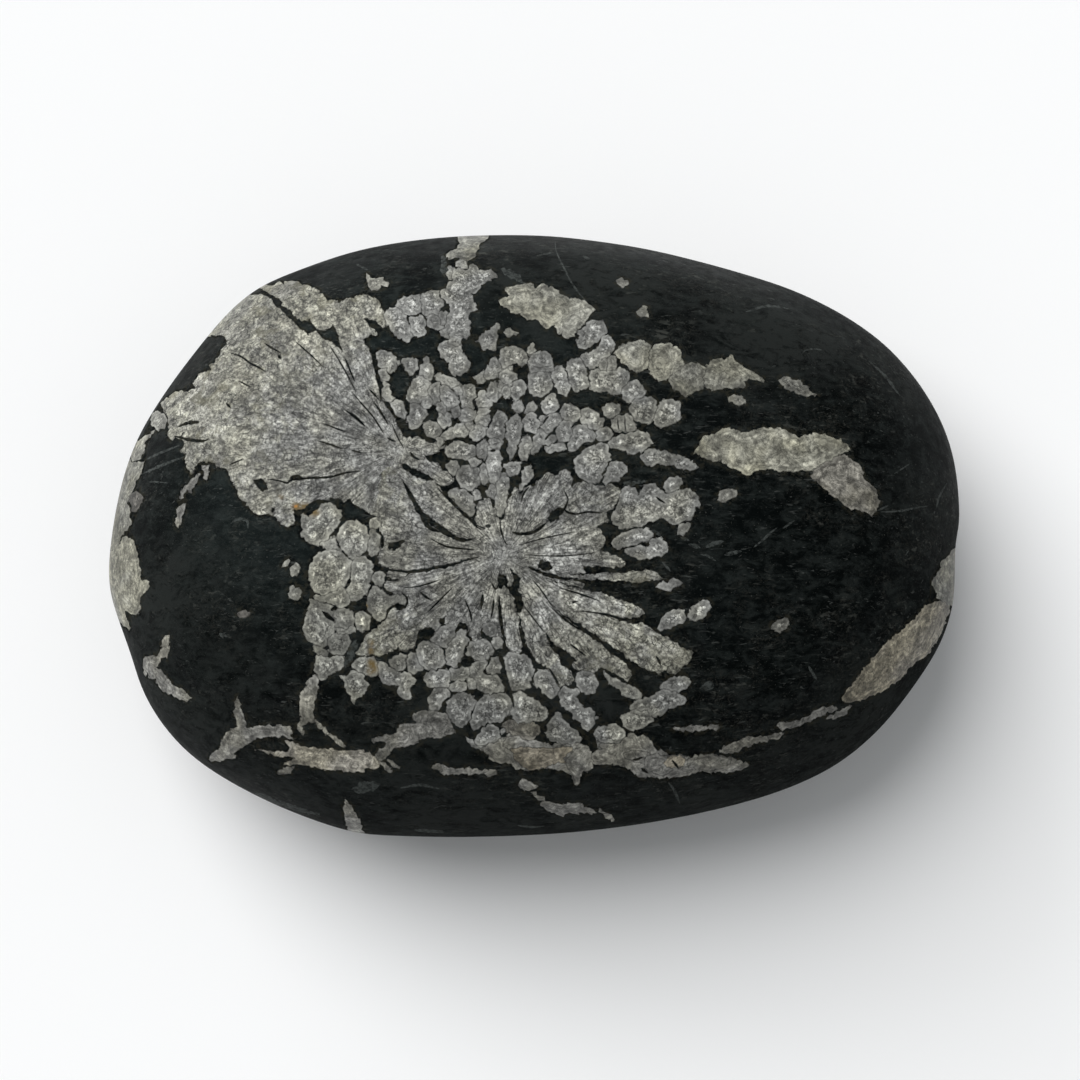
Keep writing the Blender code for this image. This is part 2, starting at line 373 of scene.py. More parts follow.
# The dark stone shows in cracks between and across the blades: each crack's width, then points along it
CRACKS = (
    (2.0, (345, 358), (349, 368), (355, 382)),
    (1.8, (230, 353), (240, 356), (250, 363), (258, 367), (266, 372)),
    (1.6, (264, 343), (272, 348), (281, 353)),
    (2.4, (278, 355), (281, 359)),
    (1.2, (239, 381), (250, 387)),
    (2.0, (226, 403), (231, 408)),
    (3.2, (178, 427), (188, 423), (200, 422)),
    (3.0, (174, 436), (182, 438), (190, 440), (203, 441), (209, 439)),
    (2.2, (268, 479), (280, 481), (287, 483), (292, 480), (310, 478), (330, 477), (345, 473), (361, 471)),
    (4.0, (291, 482), (293, 477), (303, 478)),
    (1.4, (229, 465), (243, 459)),
    (3.4, (371, 352), (374, 362), (377, 374), (380, 386), (381, 402)),
    (2.6, (345, 410), (355, 417), (365, 426)),
    (1.4, (322, 423), (335, 428), (346, 432)),
    (1.6, (369, 389), (374, 394), (379, 400)),
    (2.0, (374, 402), (382, 414), (388, 424)),
    (1.4, (352, 392), (362, 404), (374, 418), (384, 434)),
    (1.2, (330, 346), (340, 362), (349, 378), (356, 392)),
    (1.2, (296, 342), (312, 356), (322, 366)),
    (1.0, (392, 424), (398, 438), (404, 448)),
    (1.6, (387, 438), (396, 442)),
    (1.6, (318, 441), (332, 445), (342, 449)),
    (1.4, (351, 450), (362, 453)),
    (2.2, (410, 452), (414, 457), (420, 460)),
    (7.0, (402, 464), (410, 470), (420, 475), (434, 480)),
    (5.4, (403, 481), (410, 494), (415, 503), (420, 512), (430, 521), (440, 528), (450, 535), (462, 540),
     (474, 539)),
    (3.6, (420, 513), (424, 521), (430, 528), (440, 532)),
    (3.4, (438, 489), (447, 497), (455, 505), (463, 513), (471, 520), (477, 527), (482, 530)),
    (1.8, (431, 539), (445, 546), (455, 548), (475, 550)),
    (2.4, (375, 563), (385, 569), (400, 571), (410, 572), (425, 570), (440, 567), (455, 564), (467, 560),
     (479, 557)),
    (1.8, (405, 577), (412, 571), (418, 571)),
    (1.8, (386, 580), (392, 580), (399, 580)),
    (2.2, (420, 592), (426, 597), (431, 600)),
    (1.8, (402, 593), (407, 598), (407, 605)),
    (2.6, (483, 594), (482, 602), (481, 610)),
    (2.0, (494, 598), (493, 608), (491, 618)),
    (1.8, (491, 582), (496, 589), (500, 580)),
    (1.6, (500, 521), (501, 530), (505, 542), (508, 545)),
    (3.2, (512, 532), (520, 534), (530, 533), (538, 530), (546, 523)),
    (1.4, (521, 502), (524, 493), (530, 486)),
    (2.0, (564, 490), (568, 500), (565, 510), (575, 514), (588, 512), (602, 513)),
    (3.4, (528, 567), (540, 572), (550, 576), (560, 578), (571, 580)),
    (1.6, (560, 588), (577, 593), (600, 601)),
    (1.4, (580, 611), (597, 613), (610, 616), (628, 621)),
    (2.4, (600, 613), (612, 616), (626, 621)),
    (2.0, (553, 609), (562, 617), (574, 626), (584, 631), (595, 638)),
    (3.0, (603, 644), (612, 652), (622, 659)),
    (1.6, (580, 629), (588, 634), (596, 640)),
    (1.0, (532, 579), (541, 590), (552, 606)),
    (1.0, (524, 606), (534, 619), (544, 632)),
    (1.6, (570, 644), (578, 650), (586, 656)),
    (3.2, (499, 596), (500, 612), (502, 628), (505, 643)),
    (3.4, (519, 626), (522, 638), (526, 648), (532, 657), (537, 667), (549, 669)),
    (2.6, (546, 633), (551, 643), (557, 650)),
    (2.2, (549, 668), (554, 676), (559, 685)),
    (3.0, (556, 680), (558, 684)),
    (3.0, (501, 652), (504, 668), (508, 684), (512, 698), (514, 708)),
    (1.6, (465, 600), (470, 612), (472, 622)),
    (1.4, (452, 588), (440, 600), (428, 612)),
    (1.2, (440, 580), (420, 586), (404, 588)),
    (1.0, (520, 545), (545, 538), (575, 532)),
    (1.0, (525, 555), (560, 556), (595, 553)),
    (3.0, (441, 447), (446, 443), (453, 440), (460, 439), (470, 443), (477, 443), (484, 438)),
    (2.0, (545, 440), (549, 435), (553, 432)),
    (2.0, (543, 424), (546, 419), (549, 416)),
    (2.0, (571, 428), (577, 422)),
    (3.4, (322, 611), (329, 617), (335, 621)),
    (3.0, (490, 451), (496, 450)),
    (3.0, (485, 526), (491, 526)),
    (0.9, (618, 419), (618, 424), (619, 430)),
    (0.9, (625, 418), (625, 424), (626, 431)),
    (1.6, (656, 497), (660, 500), (665, 503)),
    (2.4, (672, 760), (676, 765), (679, 769)),
    (2.6, (641, 768), (645, 771), (648, 773)),
    (2.0, (632, 760), (638, 759), (643, 757)),
    (2.4, (656, 656), (659, 661), (661, 666)),
)
# Pieces of dark stone that the flowers grew round
GAPS = (
    ((251, 289), (258, 287), (264, 289), (272, 295), (279, 300), (285, 307), (291, 312), (298, 319),
     (303, 321), (308, 321), (310, 318), (312, 325), (316, 329), (322, 330), (329, 329), (333, 325),
     (338, 334), (340, 342), (342, 351), (336, 346), (329, 341), (322, 338), (318, 332), (312, 331),
     (308, 335), (301, 329), (293, 321), (284, 313), (277, 306), (271, 299), (267, 297), (260, 294),
     (252, 296), (244, 297)),
    ((255, 480), (262, 479), (266, 483), (268, 490), (262, 491), (258, 488)),
    ((271, 508), (275, 509), (273, 513), (270, 511)),
    ((318, 501), (335, 499), (345, 501), (352, 504), (360, 508), (374, 515), (368, 518), (362, 524),
     (356, 519), (350, 518), (343, 522), (336, 531), (331, 539), (340, 522), (342, 513), (337, 507),
     (329, 502)),
    ((387, 548), (389, 544), (396, 542), (405, 540), (401, 546), (396, 550), (391, 549)),
    ((384, 541), (381, 544), (381, 548), (384, 546)),
    ((424, 456), (432, 455), (440, 452), (447, 457), (440, 461), (431, 460)),
    ((391, 605), (398, 605), (404, 606), (400, 610), (394, 608)),
    ((383, 586), (387, 590), (393, 593), (390, 596), (385, 592), (381, 588)),
    ((418, 632), (424, 629), (430, 627), (432, 633), (427, 640), (421, 641)),
    ((440, 619), (444, 618), (444, 622), (442, 625), (440, 623)),
    ((537, 565), (543, 561), (549, 562), (552, 568), (547, 571), (541, 569)),
    ((511, 568), (515, 573), (520, 579), (518, 588), (522, 598), (524, 606), (519, 613), (515, 607),
     (513, 597), (510, 588), (514, 578)),
    ((583, 566), (604, 568), (622, 568), (640, 568), (636, 571), (610, 572), (592, 573), (586, 573)),
    ((549, 643), (555, 648), (562, 649), (566, 654), (571, 661), (571, 668), (565, 664), (560, 659),
     (555, 652)),
    ((572, 600), (577, 601), (574, 604)),
    ((500, 574), (504, 580), (502, 590), (498, 586)),
    ((549, 514), (554, 511), (560, 508), (564, 510), (562, 515), (556, 519), (552, 522), (549, 519)),
    ((442, 308), (446, 303), (449, 308), (448, 313), (443, 312)),
    ((647, 543), (649, 541), (650, 545), (648, 546)),
)
LEFT_HEART, MAIN_HEART = (400, 450), (503, 556)
grow_flower(LEFT_FLOWER, LEFT_HEART)
grow_flower(MAIN_FLOWER, MAIN_HEART)
breaks += [[place(spot) for spot in crack(width, *line)] for width, *line in CRACKS]
breaks += [[place(uneven(spot)) for spot in smooth_loop(gap, STEP_PX)] for gap in GAPS]


# The single crystals round the flowers: beads, plates and splinters of calcite that grew on their own in
# the mud. Each is cut across and has a dark seam round it. They are listed by their place on the stone.
BEADS_BEHIND = (
    ((456, 262), (460, 260), (465, 260), (468, 263), (466, 267), (461, 268), (457, 266)),
    ((449, 267), (455, 269), (460, 269), (466, 270), (471, 265), (476, 265), (478, 269), (484, 270),
     (490, 270), (497, 276), (492, 279), (487, 282), (481, 283), (480, 287), (476, 293), (470, 293),
     (474, 300), (476, 305), (474, 311), (468, 313), (469, 318), (470, 326), (469, 333), (466, 339),
     (461, 337), (457, 335), (450, 338), (443, 336), (441, 332), (444, 327), (447, 322), (442, 319),
     (445, 314), (449, 309), (449, 304), (446, 300), (440, 293), (446, 288), (449, 283), (453, 281),
     (451, 274)),
    ((443, 341), (448, 341), (452, 343), (458, 340), (461, 344), (462, 352), (464, 355), (467, 357),
     (469, 365), (468, 371), (463, 372), (459, 376), (453, 374), (449, 369), (450, 364), (446, 360),
     (441, 357), (439, 350)),
    ((396, 305), (399, 300), (404, 297), (410, 296), (419, 295), (420, 302), (420, 312), (412, 315),
     (405, 313)),
    ((421, 296), (427, 292), (433, 290), (438, 291), (439, 298), (443, 300), (444, 305), (440, 308),
     (438, 314), (430, 316), (423, 313)),
    ((386, 313), (391, 309), (397, 308), (401, 311), (404, 315), (407, 320), (409, 326), (412, 330),
     (413, 335), (409, 342), (404, 341), (398, 336), (392, 330), (387, 324), (385, 318)),
    ((410, 318), (416, 317), (422, 316), (425, 322), (426, 330), (423, 335), (417, 336), (412, 332),
     (411, 325)),
    ((426, 317), (432, 315), (438, 316), (441, 322), (443, 327), (440, 330), (434, 329), (429, 325)),
    ((367, 274), (372, 279), (377, 278), (381, 278), (388, 284), (385, 286), (381, 284), (380, 287),
     (378, 291), (374, 289), (370, 288), (368, 285), (369, 281)),
    ((498, 323), (498, 332), (496, 342), (495, 351), (489, 349), (484, 350), (481, 344), (476, 340),
     (482, 336), (486, 331), (492, 328)),
    ((505, 331), (510, 329), (515, 331), (517, 334), (512, 336), (507, 335)),
    ((376, 355), (380, 352), (386, 351), (392, 354), (395, 358), (397, 363), (395, 370), (391, 373),
     (387, 370), (382, 368), (378, 364)),
    ((379, 371), (384, 369), (388, 374), (388, 380), (383, 382), (380, 378)),
    ((384, 382), (388, 384), (389, 392), (393, 398), (390, 402), (385, 400), (382, 390)),
    ((391, 403), (397, 400), (402, 402), (405, 408), (406, 414), (403, 418), (398, 416), (394, 410)),
    ((402, 359), (408, 359), (412, 357), (416, 361), (418, 368), (416, 372), (412, 376), (407, 372),
     (404, 366)),
    ((427, 357), (430, 362), (433, 369), (433, 375), (429, 381), (424, 381), (420, 374), (422, 365)),
    ((411, 383), (415, 378), (420, 375), (426, 380), (431, 383), (429, 390), (425, 396), (420, 402),
     (414, 404), (409, 401), (407, 395), (410, 389)),
    ((412, 405), (420, 405), (426, 409), (427, 414), (422, 420), (420, 424), (416, 428), (412, 428),
     (408, 423), (407, 418), (410, 412)),
    ((432, 385), (438, 383), (441, 388), (440, 396), (437, 404), (432, 404), (428, 399), (429, 391)),
    ((435, 375), (441, 373), (448, 376), (455, 379), (461, 384), (463, 389), (458, 391), (452, 388),
     (445, 385), (438, 381)),
    ((441, 388), (446, 387), (452, 391), (457, 395), (458, 402), (457, 408), (450, 411), (443, 408),
     (441, 398)),
    ((461, 391), (464, 386), (470, 384), (476, 388), (475, 394), (472, 402), (473, 408), (468, 410),
     (461, 406)),
    ((441, 413), (447, 412), (452, 417), (450, 424), (445, 428), (440, 425), (437, 419)),
    ((461, 411), (468, 409), (474, 411), (475, 416), (472, 421), (465, 424), (460, 420)),
    ((477, 413), (484, 411), (489, 414), (489, 422), (484, 427), (477, 424), (476, 418)),
    ((477, 397), (482, 391), (487, 393), (491, 399), (491, 406), (486, 411), (480, 409), (477, 404)),
    ((475, 378), (479, 373), (484, 371), (486, 378), (482, 384), (477, 384)),
    ((487, 368), (490, 361), (496, 358), (500, 363), (500, 371), (496, 378), (489, 380), (485, 377)),
    ((488, 387), (495, 382), (500, 386), (500, 394), (497, 401), (491, 401), (487, 396)),
    ((424, 425), (431, 421), (437, 424), (441, 430), (438, 437), (431, 438), (425, 433)),
    ((441, 436), (447, 431), (455, 426), (465, 423), (470, 427), (468, 434), (460, 437), (450, 439),
     (442, 440)),
    ((472, 427), (480, 425), (486, 428), (484, 436), (480, 441), (474, 441), (470, 436)),
    ((497, 412), (502, 411), (506, 416), (507, 423), (503, 427), (505, 435), (502, 443), (496, 445),
     (490, 440), (487, 432), (491, 425), (494, 418)),
    ((444, 449), (449, 445), (455, 441), (463, 441), (470, 444), (476, 447), (476, 454), (472, 458),
     (466, 460), (458, 459), (450, 457), (445, 453)),
    ((447, 465), (452, 461), (457, 462), (460, 466), (458, 471), (453, 475), (448, 472)),
    ((457, 475), (460, 469), (466, 466), (473, 466), (478, 469), (481, 476), (480, 482), (476, 487),
     (470, 490), (463, 487), (458, 482)),
    ((469, 460), (475, 458), (480, 462), (477, 466), (471, 466)),
    ((480, 468), (483, 463), (488, 465), (490, 472), (489, 480), (484, 485), (481, 480)),
    ((478, 443), (484, 440), (488, 444), (487, 452), (485, 460), (480, 459), (477, 453)),
    ((489, 446), (494, 440), (500, 443), (500, 455), (501, 468), (499, 478), (496, 487), (492, 484),
     (489, 475), (488, 462)),
    ((502, 474), (506, 473), (508, 481), (507, 492), (506, 503), (503, 512), (500, 516), (497, 510),
     (495, 500), (494, 490), (498, 482)),
    ((487, 490), (491, 485), (496, 488), (496, 494), (493, 499), (488, 496)),
    ((472, 492), (477, 490), (481, 493), (480, 498), (475, 500)),
    ((451, 490), (458, 488), (465, 490), (471, 495), (474, 502), (474, 510), (471, 516), (466, 513),
     (459, 506), (453, 500), (449, 495)),
    ((450, 336), (456, 335), (462, 337), (461, 343), (456, 345), (449, 343)),
    ((447, 268), (451, 267), (452, 273), (451, 279), (448, 276)),
    ((438, 314), (444, 312), (447, 316), (446, 322), (442, 324), (440, 318)),
    ((396, 359), (399, 361), (400, 364), (397, 364)),
    ((502, 366), (507, 368), (512, 366), (512, 371), (506, 372), (502, 371)),
    ((500, 380), (506, 383), (512, 382), (510, 388), (505, 390), (500, 398), (499, 390)),
    ((454, 388), (461, 388), (462, 394), (457, 396)),
    ((423, 398), (428, 395), (432, 401), (431, 405), (427, 407), (422, 405)),
    ((437, 404), (441, 403), (446, 408), (443, 413), (438, 411)),
    ((452, 410), (458, 408), (461, 411), (459, 417), (453, 416)),
    ((479, 408), (487, 409), (489, 413), (483, 415), (478, 412)),
    ((467, 424), (472, 423), (474, 428), (471, 432), (468, 429)),
    ((438, 437), (443, 438), (444, 444), (441, 449), (438, 443)),
    ((490, 438), (501, 441), (500, 447), (491, 447)),
)
BEADS_RIGHT_OF_BEHIND = (
    ((590, 322), (596, 320), (602, 321), (605, 326), (605, 332), (602, 338), (596, 341), (592, 345),
     (586, 348), (580, 347), (576, 342), (580, 336), (578, 332), (583, 328)),
    ((604, 336), (609, 336), (613, 341), (614, 347), (610, 353), (607, 359), (602, 364), (595, 366),
     (590, 369), (585, 364), (581, 358), (583, 354), (590, 353), (597, 349), (601, 343)),
    ((607, 360), (611, 356), (616, 358), (616, 366), (613, 372), (607, 370)),
    ((500, 354), (505, 349), (512, 347), (520, 348), (526, 353), (527, 360), (522, 366), (517, 362),
     (511, 364), (506, 368), (501, 366)),
    ((528, 350), (533, 344), (535, 348), (534, 355), (530, 358)),
    ((529, 359), (535, 354), (541, 352), (548, 353), (552, 359), (553, 366), (549, 368), (538, 368),
     (530, 366)),
    ((530, 371), (540, 371), (550, 371), (553, 381), (551, 388), (546, 393), (540, 396), (533, 394),
     (529, 390), (529, 380)),
    ((554, 368), (559, 366), (564, 370), (566, 376), (569, 383), (570, 390), (566, 396), (561, 393),
     (557, 388), (555, 382), (553, 376)),
    ((567, 366), (571, 361), (578, 358), (583, 361), (585, 367), (587, 374), (588, 382), (588, 387),
     (582, 389), (576, 390), (571, 386), (569, 378)),
    ((590, 372), (596, 369), (602, 367), (606, 371), (613, 372), (620, 368), (627, 371), (629, 377),
     (628, 382), (622, 388), (621, 394), (616, 396), (610, 394), (606, 390), (600, 392), (594, 391),
     (590, 387), (591, 380)),
    ((623, 389), (628, 383), (634, 380), (640, 382), (643, 387), (645, 393), (641, 397), (636, 399),
     (630, 402), (625, 401), (622, 395)),
    ((631, 404), (636, 400), (643, 398), (650, 397), (655, 400), (656, 407), (655, 413), (653, 420),
     (648, 424), (641, 422), (635, 419), (631, 412)),
    ((658, 409), (660, 403), (664, 400), (672, 400), (679, 404), (679, 412), (680, 419), (673, 422),
     (667, 426), (662, 427), (656, 425), (655, 420)),
    ((605, 406), (610, 403), (618, 404), (621, 408), (619, 414), (612, 417), (605, 415), (603, 410)),
    ((612, 420), (619, 417), (625, 415), (632, 417), (634, 422), (635, 428), (630, 431), (622, 431),
     (616, 432), (612, 426)),
    ((596, 433), (600, 429), (606, 427), (611, 430), (611, 437), (606, 440), (599, 440)),
    ((611, 440), (617, 437), (624, 434), (630, 433), (638, 431), (645, 433), (650, 438), (652, 443),
     (648, 447), (642, 450), (635, 452), (629, 455), (626, 451), (620, 449), (615, 448), (609, 446)),
    ((580, 412), (586, 409), (593, 409), (598, 412), (600, 418), (604, 419), (603, 424), (598, 429),
     (590, 428), (583, 424)),
    ((548, 396), (553, 394), (557, 399), (559, 405), (555, 411), (549, 414), (543, 411), (541, 405),
     (544, 400)),
    ((560, 410), (564, 405), (571, 404), (577, 407), (580, 413), (578, 419), (573, 423), (567, 420),
     (561, 417)),
    ((541, 415), (549, 416), (556, 413), (561, 418), (560, 424), (555, 428), (551, 433), (545, 432),
     (541, 425)),
    ((557, 430), (562, 423), (569, 421), (574, 426), (573, 434), (568, 440), (561, 443), (556, 438)),
    ((575, 427), (583, 425), (590, 429), (595, 433), (594, 439), (588, 442), (581, 444), (575, 449),
     (570, 451), (568, 444), (573, 436)),
    ((535, 434), (541, 430), (546, 434), (552, 434), (555, 439), (551, 445), (545, 444), (539, 449),
     (533, 454), (533, 445)),
    ((546, 447), (552, 445), (558, 443), (564, 444), (566, 449), (558, 451), (551, 453), (547, 452)),
    ((512, 405), (516, 401), (522, 401), (523, 407), (520, 412), (515, 412)),
    ((524, 411), (528, 405), (533, 402), (537, 406), (534, 411), (527, 415)),
    ((523, 422), (527, 416), (533, 412), (538, 417), (540, 424), (537, 430), (533, 433), (526, 430)),
    ((511, 388), (515, 383), (520, 380), (524, 383), (527, 388), (523, 394), (518, 399), (513, 400)),
    ((501, 372), (508, 370), (517, 375), (515, 381), (506, 384), (501, 381)),
    ((503, 388), (508, 386), (510, 392), (509, 398), (504, 397), (502, 392)),
    ((521, 440), (525, 436), (530, 437), (532, 444), (530, 453), (526, 459), (522, 460), (519, 455)),
    ((510, 420), (516, 414), (521, 418), (522, 426), (520, 436), (517, 446), (513, 455), (511, 460),
     (508, 450), (507, 436), (507, 428)),
    ((504, 465), (509, 462), (515, 463), (520, 462), (521, 467), (519, 472), (514, 476), (508, 474),
     (506, 469)),
    ((525, 468), (530, 466), (533, 470), (532, 476), (528, 482), (525, 486), (521, 491), (519, 488),
     (522, 478)),
    ((574, 462), (578, 456), (584, 450), (590, 448), (596, 446), (602, 443), (608, 446), (609, 452),
     (610, 459), (606, 464), (604, 470), (601, 478), (597, 483), (590, 483), (586, 480), (580, 478),
     (577, 473), (575, 468)),
    ((610, 463), (616, 462), (622, 463), (627, 467), (627, 471), (622, 476), (618, 480), (612, 482),
     (606, 484), (603, 481), (606, 475), (608, 469)),
    ((642, 457), (645, 451), (651, 449), (657, 451), (663, 451), (669, 453), (675, 456), (682, 457),
     (688, 459), (694, 464), (698, 468), (693, 470), (685, 469), (677, 467), (669, 465), (658, 463),
     (653, 466), (647, 466), (643, 462)),
    ((620, 494), (624, 488), (631, 486), (636, 490), (638, 497), (640, 492), (645, 487), (652, 484),
     (657, 487), (661, 490), (666, 494), (671, 492), (678, 490), (685, 489), (692, 491), (697, 496),
     (700, 501), (698, 507), (694, 509), (694, 515), (690, 520), (682, 521), (675, 524), (668, 521),
     (662, 517), (652, 521), (645, 524), (638, 527), (630, 527), (624, 529), (618, 527), (614, 522),
     (613, 516), (616, 509), (619, 503)),
    ((663, 487), (666, 482), (671, 478), (678, 477), (683, 479), (680, 485), (674, 490), (668, 492)),
    ((679, 529), (682, 525), (688, 523), (691, 527), (688, 532), (683, 535), (679, 533)),
    ((613, 542), (617, 537), (622, 533), (629, 532), (641, 529), (646, 528), (650, 532), (653, 535),
     (650, 539), (645, 542), (630, 546), (622, 547), (617, 549), (614, 546)),
    ((625, 551), (632, 548), (640, 547), (647, 547), (650, 541), (655, 538), (661, 538), (665, 542),
     (668, 548), (665, 553), (659, 556), (645, 558), (637, 558), (630, 555)),
    ((657, 587), (662, 583), (668, 583), (674, 580), (680, 581), (682, 584), (678, 586), (674, 587),
     (671, 590), (665, 589)),
    ((688, 616), (692, 608), (698, 603), (706, 600), (710, 604), (709, 611), (703, 617), (696, 620),
     (690, 620)),
    ((658, 626), (662, 619), (667, 613), (673, 610), (679, 609), (684, 613), (686, 618), (681, 622),
     (675, 625), (669, 629), (661, 629)),
    ((530, 366), (541, 368), (552, 366), (552, 372), (541, 371), (530, 372)),
    ((601, 360), (606, 358), (607, 366), (604, 370), (600, 367)),
)
LONE_CRYSTALS = (
    ((720, 492), (726, 490), (733, 489), (737, 492), (735, 497), (730, 499), (724, 501), (719, 500)),
    ((773, 628), (776, 622), (782, 618), (788, 619), (789, 625), (785, 629), (779, 631), (774, 630)),
    ((779, 379), (784, 377), (790, 379), (797, 381), (803, 385), (810, 391), (816, 394), (812, 396),
     (802, 396), (795, 392), (788, 389), (781, 384)),
    ((729, 398), (733, 396), (740, 397), (745, 400), (745, 404), (739, 405), (731, 403)),
    ((616, 281), (621, 278), (626, 280), (629, 284), (624, 287), (619, 285)),
    ((637, 312), (643, 307), (646, 306), (647, 316), (641, 316)),
)
PALE_CHAIN = (
    ((507, 289), (512, 287), (519, 285), (527, 284), (533, 285), (537, 288), (541, 285), (545, 286),
     (552, 288), (558, 291), (561, 296), (568, 297), (576, 299), (583, 301), (589, 305), (593, 309),
     (590, 313), (588, 318), (580, 326), (577, 331), (573, 336), (568, 338), (562, 335), (558, 331),
     (555, 326), (551, 326), (547, 328), (542, 325), (538, 320), (535, 317), (532, 319), (527, 319),
     (522, 315), (518, 313), (512, 312), (508, 308), (503, 305), (500, 301), (506, 299), (510, 296),
     (508, 292)),
    ((615, 352), (620, 347), (627, 343), (634, 341), (640, 340), (646, 342), (650, 347), (649, 354),
     (649, 361), (648, 367), (643, 370), (637, 372), (632, 369), (627, 365), (621, 360)),
    ((651, 349), (656, 345), (663, 344), (672, 345), (678, 348), (681, 353), (683, 360), (683, 365),
     (677, 368), (673, 373), (670, 379), (665, 380), (660, 381), (654, 377), (650, 374), (650, 368),
     (650, 360)),
    ((674, 372), (680, 367), (687, 365), (693, 363), (700, 365), (705, 369), (706, 376), (706, 383),
     (702, 389), (694, 391), (688, 395), (685, 397), (680, 392), (675, 388), (671, 383), (669, 380)),
    ((706, 366), (712, 362), (718, 359), (725, 359), (732, 356), (733, 361), (739, 364), (746, 368),
     (753, 373), (759, 376), (765, 382), (758, 380), (750, 379), (744, 381), (745, 386), (740, 388),
     (730, 388), (720, 389), (712, 389), (707, 387), (705, 380), (706, 373)),
)
BROWN_CRYSTALS = (
    ((695, 453), (698, 447), (702, 440), (708, 436), (714, 434), (720, 430), (728, 428), (733, 430),
     (740, 432), (748, 432), (755, 430), (763, 428), (772, 428), (780, 429), (788, 432), (795, 436),
     (800, 439), (806, 436), (814, 434), (824, 435), (833, 438), (842, 441), (848, 446), (849, 450),
     (842, 453), (835, 456), (828, 461), (820, 465), (813, 470), (806, 470), (795, 471), (785, 471),
     (774, 469), (765, 469), (758, 470), (750, 474), (742, 472), (735, 468), (728, 465), (722, 460),
     (716, 461), (711, 460), (706, 457), (700, 455)),
    ((815, 470), (822, 465), (830, 461), (838, 456), (845, 455), (851, 459), (857, 464), (862, 471),
     (865, 478), (865, 482), (870, 483), (875, 489), (878, 496), (879, 503), (876, 510), (872, 516),
     (867, 512), (860, 510), (852, 509), (846, 506), (841, 501), (836, 497), (830, 493), (825, 488),
     (820, 483), (815, 480), (811, 476)),
    ((843, 697), (848, 690), (855, 683), (860, 675), (866, 668), (872, 660), (880, 650), (888, 643),
     (895, 636), (902, 630), (910, 624), (914, 620), (918, 614), (925, 608), (932, 604), (938, 602),
     (943, 602), (948, 604), (949, 610), (946, 617), (944, 625), (940, 633), (935, 642), (930, 650),
     (924, 657), (918, 661), (910, 667), (904, 673), (897, 680), (889, 686), (880, 692), (870, 696),
     (860, 700), (850, 701), (843, 700)),
    ((478, 748), (486, 745), (495, 740), (507, 736), (513, 735), (520, 740), (536, 741), (543, 743),
     (550, 746), (558, 744), (568, 743), (577, 742), (582, 746), (588, 749), (591, 755), (591, 763),
     (588, 770), (583, 771), (579, 778), (577, 786), (574, 780), (571, 774), (565, 770), (553, 768),
     (538, 769), (523, 769), (517, 769), (513, 764), (507, 761), (500, 763), (490, 758), (486, 753)),
    ((503, 726), (508, 720), (515, 722), (530, 723), (538, 725), (540, 732), (535, 737), (528, 740),
     (512, 734), (506, 731)),
    ((286, 741), (292, 743), (300, 746), (310, 747), (320, 749), (330, 750), (345, 751), (358, 751),
     (367, 754), (375, 757), (380, 762), (378, 766), (370, 769), (360, 771), (350, 771), (340, 770),
     (330, 770), (320, 768), (310, 765), (298, 764), (290, 765), (284, 764), (291, 760), (297, 758),
     (292, 756), (280, 756), (270, 753), (262, 751), (254, 750), (275, 752), (288, 752), (290, 747)),
)
BROWN_COLOURS = (CREAM, DUSKY, BROWN, ASHEN, DUSKY, BEIGE)

grow(BEADS_BEHIND, GREY)
grow(BEADS_RIGHT_OF_BEHIND, GREY)
grow(LONE_CRYSTALS, SANDY)
grow(PALE_CHAIN, PALE)
for outline, colour in zip(BROWN_CRYSTALS, BROWN_COLOURS):
    grow([outline], colour)


